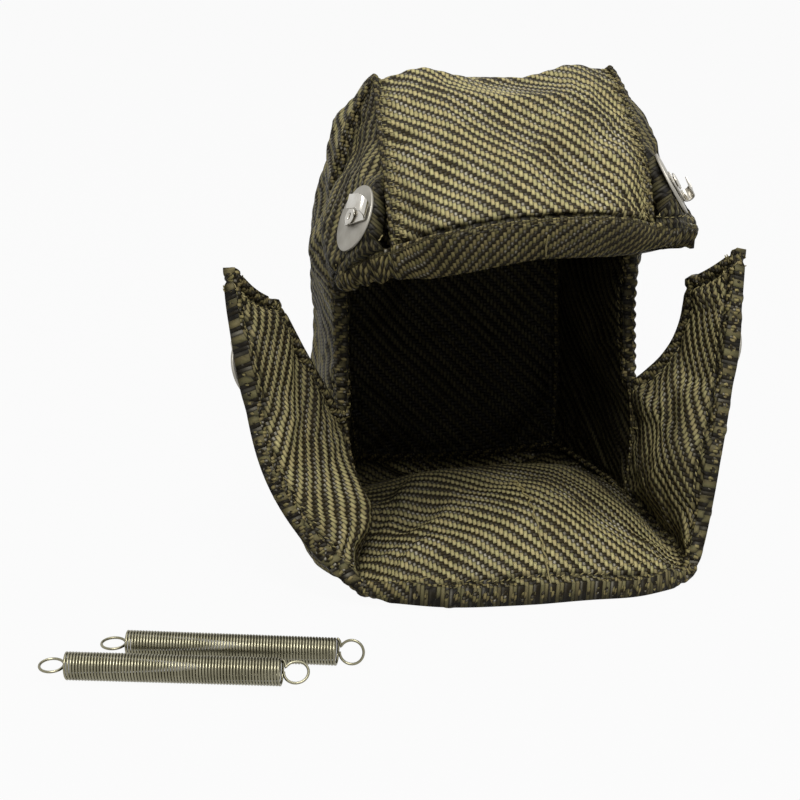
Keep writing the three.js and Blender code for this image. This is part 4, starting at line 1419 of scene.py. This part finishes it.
@dataclass(frozen=True)
class TwillCloth:
    """Coarse two-by-two twill of one yarn: the down yarns pale and matt, the across yarns a painted shaded
    copy with painted glints, for how the filaments reflect.
    """

    name: str
    pale: tuple = (196, 187, 132)
    warm: tuple = (196, 172, 124)
    # A painted shaded copy of the pale yarn, for the across yarns.
    dark: tuple = (50, 41, 18)
    # Painted shade colour in the crevices between floats and fibres.
    hollow: tuple = (12, 10, 4)
    # A painted glint on the across yarns.
    glint: tuple = (236, 228, 204)
    pitch: float = 1.72
    roughness: float = 0.55
    bump: float = 0.8
    # Strength of the painted glint.
    shine: float = 0.75

    def place(self, n: Nodes) -> bpy.types.NodeSocket:
        """Returns the place on the cloth, a little wavy as slack yarns lie."""
        uv = n.add("ShaderNodeUVMap", uv_map="cloth_mm").outputs[0]
        noise = n.add("ShaderNodeTexNoise")
        n.plug(uv, noise.inputs["Vector"])
        noise.inputs["Scale"].default_value = 0.16
        centred = n.add("ShaderNodeVectorMath", operation="SUBTRACT")
        n.plug(noise.outputs["Color"], centred.inputs[0])
        centred.inputs[1].default_value = (0.5, 0.5, 0.5)
        wobble = n.add("ShaderNodeVectorMath", operation="SCALE")
        n.plug(centred.outputs[0], wobble.inputs[0])
        wobble.inputs["Scale"].default_value = 0.9
        moved = n.add("ShaderNodeVectorMath", operation="ADD")
        n.plug(uv, moved.inputs[0])
        n.plug(wobble.outputs[0], moved.inputs[1])
        return moved.outputs[0]

    def material(self) -> bpy.types.Material:
        """Makes the cloth's node tree on the piece's cloth_mm map and its painted shade attribute."""
        n = Nodes(self.name)
        part = n.add("ShaderNodeSeparateXYZ")
        n.plug(self.place(n), part.inputs[0])
        x = n.math("DIVIDE", part.outputs[0], self.pitch)
        y = n.math("DIVIDE", part.outputs[1], self.pitch)
        column, row = n.math("FLOOR", x), n.math("FLOOR", y)
        across_x, across_y = n.math("FRACT", x), n.math("FRACT", y)
        weft = n.math("FLOORED_MODULO", n.math("SUBTRACT", x, row), 4.0)
        warp = n.math("FLOORED_MODULO", n.math("SUBTRACT", column, y), 4.0)
        on_top = n.math("LESS_THAN", n.math("FLOORED_MODULO", n.math("SUBTRACT", column, row), 4.0), 2.0)
        weft_along = n.math("DIVIDE", weft, 2.0)
        warp_along = n.math("DIVIDE", n.math("SUBTRACT", warp, 1.0), 2.0)
        weft_height = self.float_height(n, across_y, weft_along)
        warp_height = self.float_height(n, across_x, warp_along)
        height = n.blend(on_top, warp_height, weft_height)
        fibre_weft = n.noise(n.vector(n.math("MULTIPLY", x, 0.9), n.math("MULTIPLY", y, 9.0), row), 1.0)
        fibre_warp = n.noise(n.vector(n.math("MULTIPLY", x, 9.0), n.math("MULTIPLY", y, 0.9), column), 1.0)
        fibre = n.blend(on_top, fibre_warp, fibre_weft)
        warp_tone = n.mix(n.random(column), srgb(*self.pale), srgb(*(round(c * 0.88) for c in self.pale)))
        cell = n.random(n.math("ADD", n.math("MULTIPLY", column, 17.3), n.math("MULTIPLY", row, 5.7)))
        warp_tone = n.mix(n.math("MULTIPLY", cell, 0.45), warp_tone, srgb(*self.warm))
        # The across yarns take the painted shaded copy, then a painted glint.
        weft_tone = n.mix(n.random(row), srgb(*self.dark), srgb(*(round(c * 0.7) for c in self.dark)))
        weft_tone = n.mix(self.painted_glint_share(n, weft_along, part.outputs), weft_tone, srgb(*self.glint))
        tone = n.mix(on_top, warp_tone, weft_tone)
        # Painted shade in the gaps between fibres, then in the crevices between floats.
        fibre_gap_shade = n.math("MAXIMUM", n.math("MULTIPLY", n.math("SUBTRACT", 0.5, fibre), 1.6), 0.0)
        tone = n.mix(fibre_gap_shade, tone, srgb(*self.hollow))
        colour = n.mix(n.math("POWER", height, 0.8), srgb(*self.hollow), tone)
        # Painted shade from the piece's tone attribute: seams, creases, the hollow and each piece's level.
        painted_shade = n.add("ShaderNodeAttribute", attribute_name="tone").outputs["Fac"]
        colour = n.mix(painted_shade, srgb(*(round(c * 0.4) for c in self.hollow)), colour)
        n.plug(colour, n.shader.inputs["Base Color"])
        rough = n.math("ADD", self.roughness - 0.15, n.math("MULTIPLY", fibre, 0.3))
        n.plug(rough, n.shader.inputs["Roughness"])
        n.shader.inputs["Specular IOR Level"].default_value = 0.12
        bump = n.add("ShaderNodeBump")
        bump.inputs["Strength"].default_value = self.bump
        bump.inputs["Distance"].default_value = 0.0006
        raised = n.math("ADD", height, n.math("MULTIPLY", fibre, 0.16))
        n.plug(raised, bump.inputs["Height"])
        n.plug(bump.outputs[0], n.shader.inputs["Normal"])
        return n.material

    def painted_glint_share(self, n: Nodes, along: bpy.types.NodeSocket, place: list) -> bpy.types.NodeSocket:
        """Returns the share of painted glint on each dark yarn where it comes up, in loose patches."""
        away = n.math("DIVIDE", n.math("SUBTRACT", along, 0.24), 0.15)
        bell = n.math("EXPONENT", n.math("MULTIPLY", n.math("MULTIPLY", away, away), -1.0))
        patch = n.noise(n.vector(place[0], place[1]), 0.05, 2.0)
        share = n.math("MULTIPLY", n.math("SUBTRACT", patch, 0.4), 4.0)
        share = n.math("MINIMUM", n.math("MAXIMUM", share, 0.12), 1.0)
        return n.math("MULTIPLY", n.math("MULTIPLY", bell, share), self.shine)

    @staticmethod
    def float_height(
        n: Nodes, across: bpy.types.NodeSocket, along: bpy.types.NodeSocket
    ) -> bpy.types.NodeSocket:
        """Returns the height of a float: round across, sinking at both ends."""
        inside = n.math("MINIMUM", n.math("MAXIMUM", along, 0.0), 1.0)
        round_across = n.math("POWER", n.math("SINE", n.math("MULTIPLY", across, math.pi)), 0.45)
        round_along = n.math("POWER", n.math("SINE", n.math("MULTIPLY", inside, math.pi)), 0.4)
        return n.math("MULTIPLY", round_across, round_along)


@dataclass(frozen=True)
class SewingThread:
    """Pale khaki thread, a little uneven."""

    name: str = "khaki_thread"
    light: tuple = (160, 148, 98)
    shade: tuple = (92, 82, 46)

    def material(self) -> bpy.types.Material:
        """Makes the thread's node tree on Object coordinates."""
        n = Nodes(self.name)
        place = n.add("ShaderNodeTexCoord").outputs["Object"]
        colour = n.mix(n.noise(place, 700.0), srgb(*self.light), srgb(*self.shade))
        n.plug(colour, n.shader.inputs["Base Color"])
        n.shader.inputs["Roughness"].default_value = 0.6
        return n.material


@dataclass(frozen=True)
class Steel:
    """Plain steel with fine scratches and a little dull film."""

    name: str
    light: tuple
    dull: tuple
    roughness: float
    metallic: float = 1.0
    scratch: float = 900.0

    def material(self) -> bpy.types.Material:
        """Makes the steel's node tree on Object coordinates."""
        n = Nodes(self.name)
        place = n.add("ShaderNodeTexCoord").outputs["Object"]
        film = n.noise(place, 160.0, 4.0)
        grain = n.noise(place, self.scratch, 3.0)
        colour = n.mix(film, srgb(*self.light), srgb(*self.dull))
        n.plug(colour, n.shader.inputs["Base Color"])
        rough = n.math("ADD", self.roughness - 0.1, n.math("MULTIPLY", film, 0.2))
        n.plug(rough, n.shader.inputs["Roughness"])
        n.shader.inputs["Metallic"].default_value = self.metallic
        bump = n.add("ShaderNodeBump")
        bump.inputs["Strength"].default_value = 0.12
        bump.inputs["Distance"].default_value = 0.0001
        n.plug(grain, bump.inputs["Height"])
        n.plug(bump.outputs[0], n.shader.inputs["Normal"])
        return n.material


# The assemblies


class Jacket:
    """The sewn blanket: nine pads, eight hems and the piping of their seams."""

    def __init__(self, hooks: dict[str, SpringHook]) -> None:
        """Lays out the pads from the pattern, with the hooks' rivets in them."""
        self.pattern = Pattern()
        self.hooks = hooks
        self.leanings = Leanings()
        self.pads = self.lay_out()
        for pad in self.pads:
            self.leanings.gather(pad)

    def lay_out(self) -> list[QuiltPad]:
        """Returns the nine pads."""
        p = self.pattern
        left, right = p.left, p.right
        # Each pad's outer and inner levels are painted shade: cheeks and walls darker than the top for how
        # the light falls, inner faces darker inside.
        pads = [
            QuiltPad("back", p.back_top, p.back_foot, left["back_side"], right["back_side"], 14, 12,
                     inner_tone=0.5, presses=self.back_folds()),
            QuiltPad("top", p.back_top, p.rim, left["crown"].chain(left["brow"]),
                     right["crown"].chain(right["brow"]), 12, -8, outer_tone=1.0, inner_tone=0.4,
                     hem_depth=3.2, groove=2.4, presses=self.hood_folds()),
            QuiltPad("base", p.back_foot, p.lip, left["floor"].chain(left["keel"]),
                     right["floor"].chain(right["keel"]), 34, -8, softness=22, on_floor=True,
                     hollow_from=-80, hollow_to=-18, presses=self.mound_folds()),
        ]
        for cut, seams in ((LEFT, left), (RIGHT, right)):
            inner_edge = seams["temple"].chain(seams["jamb"], seams["gusset"])
            heel = seams["wing_heel"].chain(seams["gusset"])
            pads += [
                QuiltPad(f"{cut.name}_cheek", seams["brow"], seams["jaw"], seams["temple"], seams["cheek"],
                         12, 1, outer_tone=0.45, inner_tone=0.4, presses=self.cheek_folds(cut),
                         rivets=[self.hooks[f"{cut.name}_hood"]]),
                QuiltPad(f"{cut.name}_wall", seams["crown"], seams["floor"], seams["back_side"], inner_edge,
                         12, 1, outer_tone=0.7, inner_tone=0.5, presses=self.wall_folds(cut)),
                QuiltPad(f"{cut.name}_wing", seams["wing_top"], seams["keel"], heel, seams["wing_edge"],
                         13, -3, south_fullness=cut.root_fullness, presses=self.wing_folds(cut),
                         inner_tone=0.8, hollow_from=-52, hollow_to=4,
                         rivets=[self.hooks[f"{cut.name}_wing"]]),
            ]
        return pads

    @staticmethod
    def back_folds() -> list[Press]:
        """Soft folds low in the hollow."""
        return [
            Press((-38, 60, 45), (0, -7, 0), 16, Face.INNER), Press((22, 60, 38), (0, -8, 0), 18, Face.INNER),
            Press((-8, 70, 80), (0, 4, 0), 20, Face.INNER),
        ]

    @staticmethod
    def hood_folds() -> list[Press]:
        """The full crest and the sag under it."""
        sag = [Press((x, -9, 202), (0, 1.2, -1.4), 10, Face.OUTER) for x in (-34, -20, -6, 8, 22, 34)]
        return sag + [
            Press((-2, 4, 206), (0, 0, 3), 30), Press((-54, 2, 212), (1, 0, -3), 12),
            Press((52, 2, 213), (-1, 0, -2), 12),
        ]

    @staticmethod
    def cheek_folds(cut: SideCut) -> list[Press]:
        """How the hood's side pieces lie in."""
        if cut is LEFT:
            return [Press((-68, -14, 184), (5, 0, 0), 26)]
        return [Press((68, -24, 176), (-4.5, 0, 0), 19)]

    @staticmethod
    def wall_folds(cut: SideCut) -> list[Press]:
        """The waist and the bulges of the side walls."""
        if cut is LEFT:
            return [
                Press((-84, 6, 96), (6.5, 0, 0), 17, Face.OUTER),
                Press((-80, 8, 136), (-4, 0, 0), 14, Face.OUTER),
                Press((-80, 22, 160), (3, 0, 0), 8, Face.OUTER),
                Press((-82, 10, 68), (-1, 0, 0), 14, Face.OUTER),
            ]
        return [Press((74, 4, 98), (-4, 0, 0), 18, Face.OUTER)]

    @staticmethod
    def mound_folds() -> list[Press]:
        """The mound's back falls away behind its crest, and its left end sinks beside the wing."""
        return [
            Press((0, 38, 38), (0, 0, -20), 44, Face.INNER),
            Press((-48, -44, 32), (3, 0, -9), 16, Face.INNER),
            Press((-66, -84, 14), (2, 1, -5), 7, Face.INNER), Press((6, -62, 38), (0, -3, 5), 26, Face.INNER),
            Press((46, -88, 4), (-3, -6, -1), 22), Press((-44, -92, 4), (0, -2, 0), 20),
        ]

    @staticmethod
    def wing_folds(cut: SideCut) -> list[Press]:
        """The full fold where a wing meets the mound, the crease down its heel and its bow."""
        if cut is LEFT:
            return [
                Press((-70, -58, 36), (19, -3, 3), 19, Face.INNER),
                Press((-92, -40, 96), (-3, 3, 0), 12, Face.INNER),
                Press((-122, -50, 92), (4.5, 0, 0), 34), Press((-127, -44, 138), (0, 0, 3), 12),
            ]
        return [
            Press((66, -52, 40), (-5, 0, 1), 20, Face.INNER), Press((84, -34, 90), (3, 2, 0), 12, Face.INNER),
            Press((46, -88, 4), (-3, -6, -1), 22),
        ]

    def hems(self) -> list[RolledHem]:
        """Returns the hems along every free edge."""
        p = self.pattern
        left, right = p.left, p.right
        crown = (LEFT.at(LEFT.crest) + RIGHT.at(RIGHT.crest)) / 2
        # Each hem's tone is its painted shade level.
        hems = [
            RolledHem("hood_rim_hem", left["cheek"].back().chain(p.rim, right["cheek"]), crown,
                      depth=3.6, lump=0.12, tone=0.8, folds=[(0.02, 0.2, 0.9, 9.0), (0.84, 0.99, 0.6, 5.0)],
                      hang=[(0, 4), (0.12, 9), (0.24, 11), (0.5, 7), (0.76, 9), (0.9, 4), (1, 0)],
                      presses=self.cheek_folds(LEFT) + self.cheek_folds(RIGHT) + self.hood_folds()),
            RolledHem("lip_hem", left["wing_edge"].chain(p.lip, right["wing_edge"].back()), HOLLOW_CENTRE,
                      presses=self.wing_folds(LEFT) + self.mound_folds()),
        ]
        for cut, seams in ((LEFT, left), (RIGHT, right)):
            pads = {pad.name: pad for pad in self.pads}
            sides = ("cheek", "wall", "wing")
            middle = {part: pads[f"{cut.name}_{part}"].middle(8, 8)[0][4, 4] for part in sides}
            hems += [
                RolledHem(f"{cut.name}_jaw_hem", seams["jaw"].back(), middle["cheek"], trim=(3, 2), depth=4.5,
                          tone=0.6, presses=self.cheek_folds(cut)),
                RolledHem(f"{cut.name}_jamb_hem", seams["jamb"], middle["wall"], depth=4.5,
                          lump=0.5, stitch=5),
                RolledHem(f"{cut.name}_wing_hem", seams["wing_top"].back().chain(seams["wing_heel"]),
                          middle["wing"], trim=(1, 0), depth=4.5, tone=0.6, presses=self.wing_folds(cut)),
            ]
        return hems

    def piping(self) -> list[Piping]:
        """Returns the rolled seams between pads, outside and inside."""
        p = self.pattern
        lines = {"back_top": p.back_top, "back_foot": p.back_foot}
        for cut, seams in ((LEFT, p.left), (RIGHT, p.right)):
            for name in ("back_side", "crown", "brow", "temple", "gusset", "floor", "keel"):
                lines[f"{cut.name}_{name}"] = seams[name]
        made = []
        for name, seam in lines.items():
            made.append(Piping(f"{name}_outer_piping", seam, SEAM_THICKNESS / 2 - 0.4))
            made.append(Piping(f"{name}_inner_piping", seam, 0.4 - SEAM_THICKNESS / 2))
        return made

    def stitches(self) -> list[tuple[str, StitchRow]]:
        """Returns the rows of stitches beside the hems and down the brows, with their pads."""
        p = self.pattern
        middles = {pad.name: pad.middle(8, 8)[0][4, 4] for pad in self.pads}
        rows = [("base", "lip", p.lip, 6.4)]
        for cut, seams in ((LEFT, p.left), (RIGHT, p.right)):
            name = cut.name
            rows += [
                (f"{name}_wing", f"{name}_wing_edge", seams["wing_edge"], 6.2),
                (f"{name}_wing", f"{name}_wing_top", seams["wing_top"], 5.8),
                (f"{name}_wing", f"{name}_wing_heel", seams["wing_heel"], 5.8),
                (f"{name}_cheek", f"{name}_cheek_edge", seams["cheek"], 6.2),
                (f"{name}_cheek", f"{name}_jaw_edge", seams["jaw"], 5.8),
                (f"{name}_wall", f"{name}_jamb_edge", seams["jamb"], 5.8),
            ]
        made = []
        for pad, name, seam, inset in rows:
            for side, face in ((1.0, "outer"), (-1.0, "inner")):
                made.append((pad, StitchRow(f"{name}_{face}_stitches", seam, middles[pad], inset, side)))
        for cut, seams in ((LEFT, p.left), (RIGHT, p.right)):
            for inset in (2.2, 4.6):
                name = f"{cut.name}_brow_stitches_{round(inset)}"
                made.append(("top", StitchRow(name, seams["brow"], middles["top"], inset, 1.0,
                    spacing=2.6, slant=70)))
        return made

    def build(self, cloth: bpy.types.Material, tape: bpy.types.Material, thread: bpy.types.Material) -> None:
        """Makes every pad, hem, roll and stitch."""
        made = {}
        for seed, pad in enumerate(self.pads):
            made[pad.name] = pad.build(self.leanings, cloth, seed)
        for pad, row in self.stitches():
            row.build(self.leanings, made[pad], thread)
        LooseThread("mound_thread", ((-1, -40, 42), (0, -62, 44), (1, -90, 20),
            (1, -97, 6))).build(made["base"], thread)
        LooseThread("gusset_thread", ((56, -12, 50), (70, -22, 50))).build(made["right_wing"], thread)
        for seed, hem in enumerate(self.hems()):
            made[hem.name] = hem.build(self.leanings, tape, 50 + seed)
        LooseThread("rim_thread", ((0, -88, 157), (0.4, -90, 150),
            (1, -88, 143))).build(made["hood_rim_hem"], thread)
        for seed, roll in enumerate(self.piping()):
            roll.build(self.leanings, tape, 80 + seed)


@dataclass
class Studio:
    """Camera, lamps and the pale floor."""

    camera_at: tuple = (-213.5, -806.6, 310.6)
    looks_at: tuple = (-45.6, -7.6, 67.5)
    focal_px: float = 1870.0
    picture_px: float = 800.0
    sensor: float = 36.0
    floor_size: float = 60.0

    def camera(self) -> None:
        """Sets the camera where the photograph was taken from."""
        data = bpy.data.cameras.new("camera")
        data.sensor_width = self.sensor
        data.lens = self.focal_px / self.picture_px * self.sensor
        data.clip_start, data.clip_end = 0.05, 100
        camera = bpy.data.objects.new("camera", data)
        bpy.context.scene.collection.objects.link(camera)
        place, target = Vector(self.camera_at) * MM, Vector(self.looks_at) * MM
        camera.location = place
        camera.rotation_euler = (target - place).to_track_quat("-Z", "Y").to_euler()
        bpy.context.scene.camera = camera

    def lamp(self, name: str, place: tuple, size: float, power: float) -> None:
        """Adds a square soft lamp that faces the blanket."""
        data = bpy.data.lights.new(name, "AREA")
        data.size = size
        data.energy = power
        lamp = bpy.data.objects.new(name, data)
        bpy.context.scene.collection.objects.link(lamp)
        lamp.location = place
        lamp.rotation_euler = (Vector((0, -0.02, 0.1)) - Vector(place)).to_track_quat("-Z", "Y").to_euler()

    def world(self) -> None:
        """A dim sky that lights, and a white one that the camera and the steel see."""
        world = bpy.data.worlds.new("studio")
        bpy.context.scene.world = world
        world.use_nodes = True
        tree = world.node_tree
        tree.nodes.clear()
        path = tree.nodes.new("ShaderNodeLightPath")
        seen = tree.nodes.new("ShaderNodeMath")
        seen.operation = "MAXIMUM"
        tree.links.new(path.outputs["Is Camera Ray"], seen.inputs[0])
        tree.links.new(path.outputs["Is Glossy Ray"], seen.inputs[1])
        either = tree.nodes.new("ShaderNodeMath")
        either.operation = "MAXIMUM"
        tree.links.new(seen.outputs[0], either.inputs[0])
        tree.links.new(path.outputs["Is Transmission Ray"], either.inputs[1])
        dim, white = tree.nodes.new("ShaderNodeBackground"), tree.nodes.new("ShaderNodeBackground")
        dim.inputs["Strength"].default_value = 0.1
        white.inputs["Strength"].default_value = 1.0
        for background in (dim, white):
            background.inputs["Color"].default_value = (1, 1, 1, 1)
        mix = tree.nodes.new("ShaderNodeMixShader")
        tree.links.new(either.outputs[0], mix.inputs[0])
        tree.links.new(dim.outputs[0], mix.inputs[1])
        tree.links.new(white.outputs[0], mix.inputs[2])
        output = tree.nodes.new("ShaderNodeOutputWorld")
        tree.links.new(mix.outputs[0], output.inputs["Surface"])

    def floor(self) -> None:
        """A pale floor that keeps a faint shadow."""
        bpy.ops.object.select_all(action="DESELECT")
        bpy.ops.mesh.primitive_plane_add(size=self.floor_size, location=(0, 0, -0.0002))
        floor = bpy.context.object
        floor.name = "floor"
        n = Nodes("floor_white")
        n.shader.inputs["Base Color"].default_value = (0.3, 0.3, 0.3, 1)
        n.shader.inputs["Roughness"].default_value = 0.9
        n.shader.inputs["Specular IOR Level"].default_value = 0.1
        glow = n.add("ShaderNodeEmission")
        path = n.add("ShaderNodeLightPath")
        mix = n.add("ShaderNodeMixShader")
        seen = n.math("MAXIMUM", path.outputs["Is Camera Ray"], path.outputs["Is Glossy Ray"])
        seen = n.math("MAXIMUM", seen, path.outputs["Is Transmission Ray"])
        n.plug(n.math("MULTIPLY", seen, 0.95), mix.inputs[0])
        n.plug(n.shader.outputs[0], mix.inputs[1])
        n.plug(glow.outputs[0], mix.inputs[2])
        n.plug(mix.outputs[0], n.output.inputs["Surface"])
        floor.data.materials.append(n.material)

    def build(self) -> None:
        """Sets up the whole studio."""
        self.camera()
        self.lamp("key", (-0.1, -1.35, 1.9), 0.9, 44)
        self.lamp("top", (0.1, 0.2, 2.3), 1.2, 14)
        self.world()
        self.floor()
        bpy.context.scene.view_settings.view_transform = "Standard"


def main() -> None:
    """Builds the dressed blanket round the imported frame."""
    logging.basicConfig(level=logging.INFO, format="%(message)s")
    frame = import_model()
    Studio().build()
    cloth = TwillCloth("twill_cloth").material()
    tape = TwillCloth("twill_hem", pale=(168, 158, 104), pitch=1.5).material()
    washer = Steel("matt_washer_steel", (176, 172, 162), (140, 136, 126), 0.5, 0.85).material()
    steel = Steel("bright_strip_steel", (214, 212, 206), (170, 164, 152), 0.22).material()
    wire = Steel("spring_wire_steel", (158, 154, 132), (98, 94, 74), 0.3).material()
    fitted = (
        SpringHook("left_hood", lean=-21, turn=40, skew=4.5, bend_reach=12, shift=(1.5, 0, 2.6)),
        SpringHook("right_hood", lean=17, shift=(-4.5, 2, 6)),
        SpringHook("left_wing", shift=(4, 0, 2)),
        SpringHook("right_wing"),
    )
    hooks = {hook.name: hook for hook in fitted}
    for node, piece in frame["nodes"].items():
        if node.endswith("_backing_washer"):
            piece.data.materials.clear()
            piece.data.materials.append(washer)
    Jacket(hooks).build(cloth, tape, SewingThread().material())
    for hook in hooks.values():
        hook.build(washer, steel)
    CoilSpring("front_spring", -163, -141.5, -15.7, 8, 35).build(wire)
    CoilSpring("rear_spring", -138.5, -126.5, -17, 4, 78).build(wire)
    bpy.context.view_layer.update()


if __name__ == "__main__":
    main()
